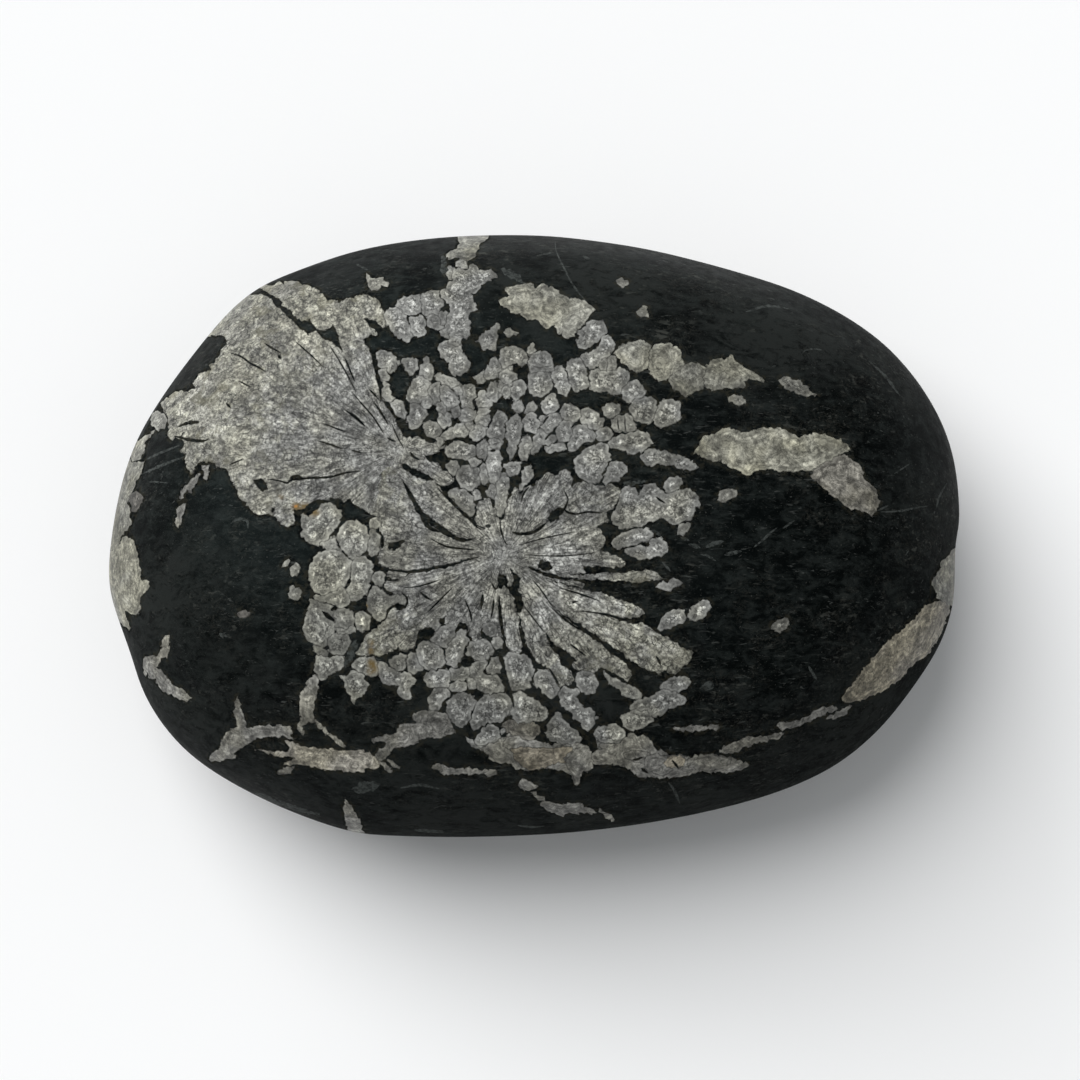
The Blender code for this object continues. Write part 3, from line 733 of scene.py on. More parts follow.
BEADS_LEFT = (
    ((153, 414), (160, 412), (165, 418), (165, 426), (158, 430), (152, 424)),
    ((302, 515), (302, 528), (303, 537), (309, 543), (318, 545), (326, 540), (332, 533), (338, 526),
     (342, 519), (341, 512), (336, 507), (329, 503), (322, 505), (315, 512), (308, 516)),
    ((341, 528), (346, 522), (352, 520), (359, 520), (364, 526), (367, 532), (369, 540), (367, 548),
     (362, 553), (357, 559), (353, 560), (349, 556), (343, 551), (340, 544), (338, 536)),
    ((320, 545), (327, 541), (334, 537), (337, 545), (341, 551), (336, 550), (328, 550)),
    ((370, 531), (374, 530), (379, 536), (379, 545), (377, 553), (373, 556), (369, 551), (369, 543),
     (371, 537)),
    ((369, 521), (374, 518), (379, 522), (379, 528), (374, 529), (370, 526)),
    ((310, 567), (314, 558), (320, 553), (328, 551), (337, 551), (343, 555), (349, 561), (351, 568),
     (349, 576), (346, 583), (341, 586), (336, 590), (330, 593), (322, 595), (316, 592), (311, 585),
     (309, 576)),
    ((352, 562), (357, 558), (364, 556), (370, 560), (373, 567), (371, 576), (369, 584), (366, 592),
     (361, 598), (354, 601), (349, 600), (345, 594), (349, 588), (352, 580), (352, 571)),
    ((313, 595), (320, 597), (330, 594), (336, 591), (343, 587), (346, 593), (350, 601), (346, 606),
     (340, 608), (332, 604), (325, 602), (317, 602)),
    ((311, 600), (309, 607), (307, 615), (305, 624), (304, 632), (308, 639), (313, 643), (322, 647),
     (330, 640), (333, 633), (337, 625), (333, 615), (330, 606), (320, 603)),
    ((334, 612), (340, 609), (348, 609), (353, 613), (354, 620), (352, 627), (347, 631), (340, 630),
     (336, 626)),
    ((357, 615), (362, 612), (368, 614), (370, 620), (369, 628), (364, 631), (358, 629), (355, 622)),
    ((331, 637), (338, 632), (346, 633), (350, 640), (348, 648), (342, 654), (335, 655), (329, 650),
     (328, 643)),
    ((314, 645), (322, 648), (328, 652), (326, 657), (319, 656), (315, 651)),
    ((317, 658), (320, 656), (328, 658), (337, 657), (344, 657), (343, 667), (337, 671), (330, 675),
     (324, 679), (318, 677), (315, 670), (316, 663)),
    ((341, 676), (347, 675), (352, 672), (358, 672), (364, 674), (363, 680), (368, 684), (367, 691),
     (361, 694), (357, 698), (354, 702), (350, 697), (347, 690), (345, 683)),
    ((353, 664), (357, 659), (364, 657), (371, 657), (376, 661), (378, 667), (377, 673), (371, 675),
     (364, 673), (358, 671), (353, 669)),
    ((372, 578), (376, 572), (381, 571), (385, 576), (384, 582), (380, 585), (375, 584)),
    ((370, 593), (374, 587), (380, 588), (384, 593), (390, 595), (398, 595), (404, 595), (406, 600),
     (404, 604), (397, 603), (390, 606), (386, 612), (383, 619), (378, 620), (373, 616), (369, 609),
     (367, 603)),
    ((291, 566), (296, 564), (299, 569), (298, 575), (293, 576), (291, 571)),
    ((283, 566), (286, 561), (288, 560), (288, 563), (285, 566)),
    ((289, 592), (293, 587), (298, 588), (301, 593), (299, 598), (295, 600), (290, 597)),
    ((336, 628), (346, 630), (353, 626), (354, 631), (348, 634), (338, 633)),
)
BEADS_IN_FRONT = (
    ((394, 656), (400, 654), (405, 656), (406, 662), (404, 669), (397, 671), (392, 667), (391, 660)),
    ((408, 656), (412, 653), (418, 653), (421, 658), (421, 666), (418, 672), (413, 674), (408, 668)),
    ((378, 662), (386, 663), (392, 670), (398, 673), (409, 673), (414, 680), (412, 685), (410, 692),
     (411, 699), (405, 699), (400, 695), (397, 691), (400, 686), (394, 685), (387, 684), (381, 679),
     (379, 670)),
    ((416, 650), (421, 643), (428, 641), (436, 644), (441, 648), (443, 655), (445, 662), (440, 667),
     (434, 669), (427, 669), (422, 665), (419, 658)),
    ((431, 639), (434, 633), (441, 628), (448, 625), (455, 628), (456, 636), (452, 641), (449, 646),
     (444, 647), (437, 644)),
    ((447, 650), (450, 643), (456, 637), (462, 629), (467, 632), (468, 640), (464, 648), (462, 655),
     (459, 663), (454, 667), (449, 666), (446, 659)),
    ((466, 653), (470, 643), (477, 641), (486, 640), (491, 645), (493, 652), (488, 658), (480, 660),
     (472, 658)),
    ((483, 627), (486, 623), (492, 623), (496, 627), (496, 633), (490, 636), (485, 634)),
    ((493, 641), (498, 636), (503, 641), (502, 647), (497, 649), (493, 646)),
    ((449, 669), (456, 670), (462, 667), (470, 668), (472, 675), (466, 680), (458, 681), (451, 679)),
    ((425, 677), (430, 671), (438, 671), (445, 669), (450, 673), (450, 680), (448, 686), (443, 690),
     (436, 687), (430, 687), (425, 682)),
    ((450, 686), (455, 682), (463, 682), (467, 686), (465, 690), (458, 692), (451, 690)),
    ((429, 697), (433, 690), (440, 688), (448, 689), (449, 695), (444, 700), (441, 706), (437, 711),
     (430, 710), (428, 704)),
    ((447, 703), (452, 697), (458, 694), (466, 693), (473, 697), (476, 703), (472, 708), (470, 715),
     (468, 722), (462, 728), (457, 725), (450, 721), (446, 714)),
    ((471, 668), (474, 662), (481, 661), (486, 661), (486, 667), (483, 673), (487, 676), (494, 675),
     (500, 680), (504, 686), (503, 691), (496, 692), (488, 694), (480, 690), (475, 684), (471, 676)),
    ((488, 673), (489, 664), (493, 658), (499, 657), (500, 664), (500, 672), (495, 674)),
    ((478, 702), (484, 697), (492, 695), (500, 694), (506, 694), (510, 699), (512, 707), (510, 714),
     (504, 718), (501, 722), (492, 722), (485, 724), (480, 728), (474, 730), (471, 724), (473, 714),
     (475, 708)),
    ((478, 735), (484, 728), (492, 726), (497, 729), (500, 737), (494, 741), (486, 744), (480, 745),
     (475, 741)),
    ((504, 658), (508, 653), (516, 654), (524, 656), (530, 658), (532, 664), (533, 672), (530, 679),
     (529, 686), (524, 690), (516, 690), (511, 687), (508, 680), (506, 670)),
    ((513, 694), (520, 692), (526, 696), (533, 698), (540, 703), (546, 709), (548, 715), (544, 720),
     (538, 721), (524, 722), (515, 721), (511, 714), (514, 706)),
    ((535, 674), (539, 669), (546, 669), (551, 674), (555, 681), (559, 688), (557, 694), (552, 698),
     (546, 696), (541, 690), (536, 685), (534, 679)),
    ((559, 692), (566, 688), (572, 690), (577, 688), (579, 693), (576, 697), (580, 704), (585, 709),
     (590, 708), (594, 712), (595, 719), (592, 726), (588, 730), (584, 728), (580, 722), (574, 717),
     (568, 710), (562, 704), (559, 697)),
    ((575, 679), (579, 673), (585, 671), (593, 674), (598, 680), (598, 686), (594, 693), (587, 694),
     (580, 690), (577, 685)),
    ((603, 671), (609, 676), (616, 679), (622, 682), (629, 686), (636, 688), (640, 693), (639, 698),
     (632, 698), (625, 695), (620, 690), (613, 685), (607, 680)),
    ((660, 689), (664, 682), (670, 679), (678, 676), (686, 676), (690, 681), (688, 687), (682, 691),
     (675, 693), (667, 691)),
    ((631, 706), (636, 700), (643, 698), (650, 697), (658, 693), (665, 690), (672, 693), (680, 695),
     (686, 699), (684, 704), (677, 706), (670, 708), (664, 713), (656, 716), (650, 714), (645, 710),
     (638, 711), (632, 710)),
    ((621, 717), (627, 713), (633, 711), (642, 711), (650, 715), (653, 720), (648, 724), (642, 727),
     (635, 729), (628, 730), (623, 725)),
    ((556, 713), (560, 714), (563, 719), (568, 724), (574, 730), (579, 736), (580, 742), (563, 743),
     (555, 742), (549, 738), (546, 733), (550, 726), (552, 719)),
    ((431, 622), (435, 619), (440, 621), (440, 626), (436, 630), (431, 628)),
    ((467, 680), (473, 678), (477, 688), (470, 688)),
    ((466, 738), (471, 739), (476, 745), (482, 748), (476, 748), (470, 743)),
    ((596, 738), (600, 741), (604, 745), (600, 748), (598, 743)),
    ((500, 730), (503, 730), (505, 732), (502, 733)),
    ((595, 717), (598, 717), (598, 719), (595, 719)),
    ((593, 733), (599, 728), (606, 728), (613, 725), (620, 728), (625, 732), (624, 738), (618, 742),
     (611, 743), (604, 743), (600, 740)),
)
BAND_IN_FRONT = (
    ((592, 754), (598, 750), (604, 749), (600, 745), (612, 745), (620, 743), (627, 737), (632, 733),
     (637, 738), (643, 736), (648, 739), (652, 744), (654, 748), (658, 751), (665, 752), (669, 756),
     (676, 755), (684, 756), (690, 758), (697, 757), (704, 755), (712, 755), (720, 756), (728, 758),
     (735, 760), (742, 762), (748, 764), (742, 768), (733, 771), (723, 773), (712, 772), (700, 771),
     (692, 773), (684, 775), (675, 777), (655, 777), (645, 777), (637, 774), (631, 770), (626, 766),
     (613, 764), (596, 763), (592, 762)),
    ((504, 741), (510, 737), (518, 737), (525, 741), (527, 746), (520, 748), (511, 749), (505, 746)),
    ((572, 754), (576, 749), (583, 746), (589, 749), (591, 755), (592, 762), (590, 769), (583, 771),
     (580, 778), (577, 786), (575, 778), (570, 770), (567, 765), (569, 760)),
    ((625, 754), (634, 751), (645, 752), (653, 756), (654, 762), (648, 763), (641, 762), (634, 761),
     (627, 758)),
    ((648, 756), (659, 754), (668, 758), (674, 763), (672, 770), (663, 774), (652, 772), (645, 768),
     (646, 761)),
    ((688, 760), (696, 756), (708, 755), (720, 757), (730, 760), (726, 766), (714, 769), (700, 769),
     (690, 766)),
)
BROWN_IN_FRONT = (
    ((511, 749), (523, 747), (540, 748), (554, 748), (572, 747), (570, 752), (563, 758), (567, 762),
     (560, 763), (552, 765), (542, 769), (531, 770), (520, 765), (514, 758)),
    ((664, 762), (668, 757), (676, 755), (684, 757), (685, 763), (680, 767), (672, 768), (666, 767)),
)
SPLINTERS = (
    ((203, 466), (208, 466), (207, 478), (204, 478)),
    ((197, 475), (200, 476), (197, 481), (193, 488), (189, 493), (186, 490), (184, 494), (181, 499),
     (180, 498), (182, 491), (184, 487), (189, 484), (193, 478)),
    ((181, 505), (185, 504), (184, 511), (181, 518), (178, 527), (176, 522), (177, 513)),
    ((168, 636), (169, 640), (168, 650), (167, 658), (163, 657), (159, 659), (157, 666), (156, 668),
     (160, 671), (166, 677), (172, 684), (180, 690), (187, 695), (192, 699), (187, 700), (180, 699),
     (172, 695), (165, 692), (160, 687), (156, 680), (150, 676), (147, 671), (145, 675), (144, 668),
     (143, 662), (145, 658), (150, 656), (158, 657), (161, 650), (163, 642)),
    ((236, 696), (240, 705), (241, 712), (244, 718), (248, 728), (258, 727), (268, 726), (280, 726),
     (290, 727), (292, 731), (290, 735), (293, 740), (288, 737), (278, 737), (268, 736), (260, 738),
     (252, 740), (246, 744), (240, 748), (234, 752), (235, 757), (228, 758), (220, 760), (212, 762),
     (210, 759), (215, 753), (221, 749), (221, 742), (226, 735), (232, 729), (238, 727), (236, 718),
     (235, 706)),
    ((316, 676), (310, 679), (305, 688), (301, 693), (300, 705), (301, 716), (300, 722), (298, 728),
     (303, 735), (304, 733), (301, 727), (308, 722), (314, 722), (313, 712), (315, 700), (317, 690),
     (319, 681)),
    ((314, 720), (318, 722), (324, 728), (330, 733), (337, 739), (344, 745), (346, 747), (341, 746),
     (335, 741), (328, 735), (321, 728)),
    ((277, 773), (284, 769), (294, 767), (292, 771), (285, 773)),
    ((413, 717), (418, 713), (425, 711), (434, 712), (441, 712), (447, 716), (450, 722), (453, 728),
     (455, 732), (448, 734), (440, 736), (430, 738), (422, 738), (418, 741), (412, 745), (404, 746),
     (396, 748), (390, 751), (388, 755), (384, 759), (379, 760), (376, 755), (378, 750), (384, 748),
     (388, 745), (385, 741), (378, 741), (372, 741), (372, 739), (378, 737), (386, 736), (393, 735),
     (398, 731), (401, 725), (408, 724), (415, 725), (417, 721)),
    ((380, 762), (385, 764), (389, 768), (391, 772), (387, 770), (383, 766)),
    ((387, 760), (393, 762), (397, 766), (399, 769), (394, 766), (390, 763)),
    ((432, 767), (438, 765), (443, 766), (450, 769), (470, 769), (480, 771), (490, 770), (497, 771),
     (494, 774), (488, 776), (482, 773), (470, 773), (450, 774), (442, 774), (440, 770), (434, 769)),
    ((346, 800), (350, 806), (354, 812), (358, 818), (360, 825), (363, 833), (368, 846), (360, 856),
     (352, 846), (348, 829), (347, 822), (345, 815), (344, 810)),
    ((674, 728), (690, 727), (705, 726), (719, 726), (717, 728), (698, 731), (680, 731)),
    ((720, 750), (728, 746), (735, 742), (742, 740), (750, 738), (766, 737), (781, 733), (785, 732),
     (773, 739), (757, 743), (748, 746), (740, 749), (730, 752), (722, 753)),
    ((778, 726), (782, 722), (788, 723), (795, 722), (803, 718), (810, 715), (816, 711), (822, 709),
     (830, 707), (838, 708), (832, 711), (817, 717), (808, 721), (800, 725), (784, 728)),
    ((826, 719), (833, 716), (838, 712), (845, 709), (852, 705), (845, 713), (838, 717), (830, 719)),
    ((519, 784), (522, 780), (528, 781), (533, 783), (537, 787), (531, 789), (524, 790), (520, 787)),
    ((532, 792), (538, 795), (545, 801), (540, 800), (534, 796)),
    ((541, 803), (546, 802), (553, 804), (562, 805), (580, 804), (586, 807), (592, 810), (597, 813),
     (580, 812), (560, 814), (552, 812), (546, 809), (542, 806)),
    ((600, 810), (606, 813), (611, 816), (614, 820), (607, 818), (602, 814)),
)
# Crystals that run over the stone's edge and on down its side
RIM_CRYSTALS = (
    ((133, 462), (144, 462), (142, 470), (137, 479), (133, 489), (131, 496), (127, 503), (129, 511),
     (129, 521), (126, 530), (120, 538), (115, 547), (108, 552), (96, 545), (92, 520), (100, 490),
     (112, 462), (120, 455)),
    ((131, 452), (133, 459), (140, 457), (144, 452), (144, 443), (150, 437), (155, 430), (150, 434),
     (143, 440), (136, 441), (122, 440)),
    ((119, 543), (124, 538), (130, 539), (132, 543), (135, 549), (138, 556), (139, 565), (140, 575),
     (143, 582), (147, 581), (149, 587), (145, 591), (141, 596), (139, 600), (140, 607), (137, 614),
     (132, 613), (127, 611), (125, 614), (126, 620), (129, 629), (121, 622), (108, 622), (86, 612),
     (72, 590), (80, 566), (96, 556), (111, 553)),
    ((955, 549), (950, 556), (945, 559), (942, 566), (938, 573), (936, 577), (933, 578), (933, 585),
     (936, 590), (938, 598), (943, 601), (952, 604), (972, 606), (990, 590), (982, 566), (968, 552)),
    ((489, 231), (486, 240), (480, 243), (478, 248), (475, 253), (474, 258), (468, 260), (455, 257),
     (449, 259), (447, 255), (452, 252), (456, 249), (459, 245), (460, 241), (458, 228), (470, 215),
     (486, 220)),
)
grow(BEADS_LEFT, PEARL)
grow(BEADS_IN_FRONT, GREY)
grow(BAND_IN_FRONT, ASHEN)
grow(BROWN_IN_FRONT, TAN, 0)
grow(SPLINTERS, ASHEN)
grow(RIM_CRYSTALS, PALE)


# Faint marks in the limestone: two dull crystals, then smudges, which are shells and crystals just under
# the polish, and pale scratches, each with its width before its points
DULL_CRYSTALS = (
    ((130, 496), (136, 492), (143, 494), (142, 502), (137, 511), (131, 512)),
    ((238, 612), (245, 609), (250, 613), (246, 618), (240, 617)),
)
SMUDGES = (
    ((250, 792), (262, 794), (275, 799), (290, 804), (305, 809), (320, 813), (320, 816), (304, 813),
     (288, 808), (272, 803), (258, 798)),
    ((220, 634), (225, 633), (228, 636), (224, 638), (220, 637)),
    ((700, 688), (704, 686), (708, 681), (713, 682), (712, 688), (704, 690)),
    ((350, 790), (360, 783), (372, 781), (380, 784), (374, 790), (360, 794)),
    ((346, 655), (352, 642), (357, 640), (356, 650), (352, 660), (347, 668), (344, 665)),
    ((441, 256), (446, 258), (447, 268), (445, 276), (441, 272)),
    ((500, 268), (510, 270), (520, 276), (525, 283), (516, 281), (507, 276)),
    ((622, 486), (626, 482), (632, 480), (640, 479), (649, 481), (642, 483), (634, 484), (628, 487)),
)
SCRATCHES = (
    (1.0, (148, 482), (158, 482), (168, 483)),
    (1.6, (140, 475), (160, 466), (186, 456)),
    (1.4, (145, 460), (160, 453), (180, 445)),
    (1.8, (230, 524), (238, 519), (247, 521), (248, 529)),
    (1.6, (356, 264), (362, 267), (368, 270)),
    (1.6, (582, 256), (590, 259)),
    (1.2, (555, 240), (556, 250), (560, 260), (565, 270), (570, 280), (578, 292), (587, 302)),
    (1.0, (536, 256), (545, 254), (555, 252)),
    (2.2, (724, 555), (733, 553), (742, 551)),
    (1.4, (753, 548), (765, 538), (770, 533), (778, 527)),
    (1.2, (782, 529), (795, 520)),
    (1.4, (880, 512), (900, 511), (915, 508), (928, 506)),
    (1.2, (877, 511), (889, 505)),
    (1.0, (894, 474), (911, 463)),
    (1.4, (936, 509), (940, 495), (947, 483)),
    (1.0, (905, 556), (909, 550)),
    (1.2, (802, 354), (806, 350), (815, 349), (822, 350)),
    (1.8, (808, 665), (812, 672), (817, 680)),
    (2.2, (688, 544), (695, 546), (701, 548)),
    (2.4, (704, 548), (713, 544), (724, 541)),
    (1.4, (700, 554), (708, 556), (716, 561)),
    (1.4, (661, 560), (666, 566), (671, 572)),
    (2.2, (651, 530), (657, 533), (661, 536)),
    (1.8, (680, 537), (690, 541)),
    (1.8, (400, 788), (420, 785), (440, 789)),
    (1.8, (668, 782), (674, 790), (680, 804)),
    (1.6, (745, 312), (768, 306), (790, 309)),
    (1.6, (868, 360), (885, 376), (900, 396)),
    (1.8, (670, 752), (671, 746)),
    (2.2, (414, 830), (430, 831), (445, 832)),
    (1.4, (516, 825), (530, 827), (545, 826)),
)
SCRATCH_WIDENING = 1.6

grow(DULL_CRYSTALS, DULL, 0)
grow(SMUDGES, DULL, 0, "scraped")
for width, *line in SCRATCHES:
    add_crystal([place(spot) for spot in crack(SCRATCH_WIDENING * width, *line)], DULL, mass="scraped")


# The crystals that the photograph doesn't show, on the sides below the widest outline and on the
# underside. A stone like this is full of them, so they are made like those on the face: beads, needles
# and two more flowers. Lengths are in metres, and a pair of numbers is the least and the most.
HIDDEN_STEP = 0.00042  # from one point of a hidden crystal's edge to the next
RAGGED = ((0.0012, 0.00016), (0.0004, 0.00010))  # how long the waves in its edge are, and how deep
BELOW = Vector((0, 0, -1))
CLEAR_OF_MIDDLE = 0.0045  # no bead lies over the underside's middle, which is the disc's outer edge
NEARLY_LEVEL = 0.05  # a slope less than this is taken as level
BEAD_RADII = (0.0008, 0.0023)
BEAD_CORNERS = (5, 8)
BEAD_UNEVENNESS = (0.78, 1.12)
BEAD_STRETCH = (1.0, 1.3)
BEAD_GAP = 0.94  # of a bead's radius is kept clear of the beads after it
BEAD_TRIES = 30  # for each bead of a cluster
CLUSTER_HEIGHT = 0.7  # of a cluster's spread along the stone
BLADE_LENGTHS = (0.40, 1.10)  # as shares of the flower's reach
BLADE_WIDTHS = (0.12, 0.26)
BLADE_UNEVENNESS = (0.65, 1.25)
BLADE_TURNS = (-0.4, 0.4)  # out of even spacing round the heart

# Beads in clusters on the sides: the way round from the right end in degrees, height, how many, spread
SIDE_CLUSTERS = (
    (196, 0.013, 16, 0.0075), (172, 0.012, 12, 0.006), (222, 0.014, 9, 0.005), (250, 0.012, 7, 0.006),
    (287, 0.011, 10, 0.006), (322, 0.013, 6, 0.005), (8, 0.015, 5, 0.004), (40, 0.012, 8, 0.006),
    (78, 0.016, 9, 0.006), (112, 0.014, 14, 0.007), (143, 0.013, 9, 0.006),
)
# Needles and plates on the sides: the way round, height, length, width, and tilt from level in degrees
SIDE_NEEDLES = (
    (184, 0.0155, 0.013, 0.0016, 12), (208, 0.009, 0.010, 0.0013, -20), (236, 0.0125, 0.015, 0.0019, 6),
    (268, 0.013, 0.016, 0.0022, -8), (304, 0.0145, 0.014, 0.0015, 14), (338, 0.011, 0.012, 0.0012, -5),
    (352, 0.016, 0.009, 0.0016, 18), (25, 0.009, 0.012, 0.0018, -12), (60, 0.014, 0.011, 0.0013, 9),
    (95, 0.010, 0.014, 0.0017, -6), (128, 0.0165, 0.012, 0.0020, 15), (158, 0.0085, 0.011, 0.0014, -10),
)
# Beads on the underside: the middle of each cluster, how many and their spread
UNDER_CLUSTERS = (
    (-0.0375, -0.0060, 16, 0.0070), (-0.0230, -0.0180, 14, 0.0065), (-0.0050, -0.0110, 11, 0.0060),
    (0.0040, 0.0200, 12, 0.0065), (0.0130, 0.0080, 8, 0.0045), (0.0330, 0.0080, 9, 0.0060),
    (0.0400, -0.0130, 6, 0.0050), (-0.0400, 0.0150, 8, 0.0060),
)
# Flowers on the underside: the heart's place, how many blades, and their reach
UNDER_FLOWERS = ((-0.0240, 0.0065, 23, 0.0165), (0.0240, -0.0085, 17, 0.0120))

chance = random.Random(11)


def tangents(normal):
    """Two directions along the surface: level, and up the slope."""
    level = Vector((-normal.y, normal.x, 0))
    level = level.normalized() if level.length > NEARLY_LEVEL else Vector((1, 0, 0))
    return level, normal.cross(level).normalized()


def on_side(degrees, height):
    """The point of the side at a way round and a height, and the normal there."""
    out = Vector((math.cos(math.radians(degrees)), math.sin(math.radians(degrees)), 0))
    point, normal, _, _ = form.ray_cast(Vector((0, 0, height)) + out * FAR / 2, -out, FAR)
    return point, normal


def on_underside(x, y):
    """The point of the underside at a place, and the normal there."""
    point, normal, _, _ = form.ray_cast(Vector((x, y, -FAR / 2)), -BELOW, FAR)
    return point, normal


def pressed(middle, normal, outline):
    """An outline that is flat, in metres, laid on the surface round a point and made ragged."""
    level, slope = tangents(normal)
    spots = [wandered(middle + level * along + slope * across, RAGGED) for along, across in outline]
    return [unroll(form.find_nearest(spot)[0]) for spot in spots]


def add_hidden(loop, colour, heart=None, mass=None):
    """Adds a crystal that the photograph doesn't show, unless some of it lies within the camera's sight."""
    if all(facing(*roll(spot)) < 0 for spot in loop):
        add_crystal(loop, colour, heart, mass)


def bead_outline(radius, stretch, turn):
    """A rounded polygon, longer one way, like a crystal cut across."""
    corners = chance.randint(*BEAD_CORNERS)
    reaches = [radius * chance.uniform(*BEAD_UNEVENNESS) for _ in range(corners)]
    knots = []
    for k, reach in enumerate(reaches):
        angle = math.tau * k / corners
        spot = Vector((reach * math.cos(angle) * stretch, reach * math.sin(angle) / stretch))
        spot.rotate(Matrix.Rotation(turn, 2))
        knots.append(spot)
    return smooth_loop(knots, HIDDEN_STEP)


def blade_outline(length, width, turn):
    """A blade of a flower, from its heart outwards: widest past its middle, with uneven sides."""
    shares = (-0.03, 0.30, 0.52, 0.70, 0.86, 1.00, 0.90, 0.76, 0.55, 0.28)
    sides = (0.0, -0.30, -0.40, -0.50, -0.34, 0.0, 0.24, 0.46, 0.44, 0.32)
    knots = []
    for share, side in zip(shares, sides):
        spot = Vector((length * share, width * side * chance.uniform(*BLADE_UNEVENNESS)))
        spot.rotate(Matrix.Rotation(turn, 2))
        knots.append(spot)
    return smooth_loop(knots, HIDDEN_STEP)


def needle_outline(length, width, tilt):
    """A thin plate of crystal seen on edge, with pointed ends."""
    shares = (-1, -0.55, 0.0, 0.6, 1, 0.5, 0.0, -0.6)
    sides = (0, -0.8, -1, -0.7, 0, 0.9, 1, 0.8)
    knots = [Vector((share * length / 2, side * width / 2)) for share, side in zip(shares, sides)]
    for knot in knots:
        knot.rotate(Matrix.Rotation(math.radians(tilt), 2))
    return smooth_loop(knots, HIDDEN_STEP)


def grow_cluster(middle, normal, count, spread):
    """Beads packed round a point, each clear of those before it."""
    level, slope = tangents(normal)
    held = []
    for _ in range(count * BEAD_TRIES):
        if len(held) == count:
            break
        radius = chance.uniform(*BEAD_RADII)
        offset = Vector((chance.gauss(0, spread), chance.gauss(0, spread * CLUSTER_HEIGHT)))
        if any((offset - other).length < radius + size for other, size in held):
            continue
        held.append((offset, radius * BEAD_GAP))
        point, facing_out, _, _ = form.find_nearest(middle + level * offset.x + slope * offset.y)
        if point.xy.length < CLEAR_OF_MIDDLE:
            continue
        outline = bead_outline(radius, chance.uniform(*BEAD_STRETCH), chance.uniform(0, math.pi))
        add_hidden(pressed(point, facing_out, outline), varied(GREY, len(crystals)))


for degrees, height, count, spread in SIDE_CLUSTERS:
    grow_cluster(*on_side(degrees, height), count, spread)
for degrees, height, length, width, tilt in SIDE_NEEDLES:
    outline = needle_outline(length, width, tilt)
    add_hidden(pressed(*on_side(degrees, height), outline), varied(BEIGE, len(crystals)))
for x, y, count, spread in UNDER_CLUSTERS:
    grow_cluster(*on_underside(x, y), count, spread)
for x, y, count, reach in UNDER_FLOWERS:
    heart, out = on_underside(x, y)
    for k in range(count):
        turn = math.tau * (k + chance.uniform(*BLADE_TURNS)) / count
        length = reach * chance.uniform(*BLADE_LENGTHS)
        outline = blade_outline(length, reach * chance.uniform(*BLADE_WIDTHS), turn)
        add_hidden(pressed(heart, out, outline), GREY, heart * 1000, "flowers")


# The finished surface: the pebble's form again, in one closed skin, with edges along every crystal's
# outline. It is laid out on the disc, where all the outlines lie flat, and rolled back onto the form.
FINE_PX, COARSE_PX = 2.1, 6.5  # spacings where the camera sees: in the crystals and in the limestone
FINE_HIDDEN, COARSE_HIDDEN = 0.00048, 0.0014  # and where it doesn't, in metres
STONE_BOX_PX = ((100, 225), (970, 845))  # holds the stone in the photograph
HIGHEST = math.radians(60)  # from the top of the stone round to the first ring of the hidden points
LOWEST = math.radians(178.5)  # and round to the last, in the middle of the underside
RING_GAP = 0.85  # of a spacing
RING_STAGGER = 7  # turns each ring differently
STEEPEST_SEEN = 0.16  # where the surface faces the camera less than this, it gets the hidden points
LAST_RING = 12  # points in it
CLEARANCE = 0.55  # of a spacing, between an outline and the points that fill the surface
NEAREST = 0.00001  # points closer than this are one
TINY = 1e-30  # keeps a level side from dividing by zero

loops = [crystal["loop"] for crystal in crystals] + breaks
LAST_CRYSTAL = len(crystals) - 1


def rows_over(box_low, box_high, spacing):
    """Points in staggered rows over a box."""
    rows = []
    across = np.arange(box_low[0], box_high[0], spacing)
    for k, y in enumerate(np.arange(box_low[1], box_high[1], spacing * math.sqrt(3) / 2)):
        rows.append(np.column_stack((across + k % 2 * spacing / 2, np.full(len(across), y))))
    return np.concatenate(rows)


def seen_spots(spacing):
    """Points on the disc under evenly spaced pixels, where the camera sees the surface well."""
    spots = []
    for px in rows_over(*STONE_BOX_PX, spacing):
        point, normal, _, _ = form.ray_cast(camera.location, line_of_sight(px), FAR)
        if point is not None and facing(point, normal) > STEEPEST_SEEN:
            spots.append(unroll(point)[:])
    return np.array(spots)


def hidden_spots(spacing):
    """Points on the disc round the stone's sides and underside, in rings from the girth down."""
    spots = []
    angle = HIGHEST
    while angle < LOWEST:
        reach = 2 * math.tan(angle / 2)
        ring = (HALF.x + HALF.y) * math.pi * math.sin(angle)
        count = max(LAST_RING, round(ring / spacing))
        for k in range(count):
            turn = math.tau * (k + angle * RING_STAGGER % 1) / count
            spot = (reach * HALF.x * math.cos(turn), reach * HALF.y * math.sin(turn))
            if facing(*roll(spot)) < STEEPEST_SEEN:
                spots.append(spot)
        angle += spacing / (HALF.x + HALF.z) * 2 * RING_GAP
    return np.array(spots)


def inside(loop, spots):
    """The numbers of the spots that lie inside a loop."""
    corners = np.array([corner[:] for corner in loop])
    near = np.flatnonzero(((spots > corners.min(0)) & (spots < corners.max(0))).all(1))
    x, y = spots[near].T
    odd = np.zeros(len(near), bool)
    for (x0, y0), (x1, y1) in zip(corners, np.roll(corners, -1, 0)):
        crosses = (y0 > y) != (y1 > y)
        if crosses.any():
            odd ^= crosses & (x < (x1 - x0) * (y - y0) / (y1 - y0 + TINY) + x0)
    return near[odd]


corners, outline_edges = [], []
for loop in loops:
    first = len(corners)
    corners += [spot.copy() for spot in loop]
    outline_edges += [(k, k + 1) for k in range(first, len(corners) - 1)] + [(len(corners) - 1, first)]
taken = kdtree.KDTree(len(corners))
for k, spot in enumerate(corners):
    taken.insert((spot.x, spot.y, 0), k)
taken.balance()

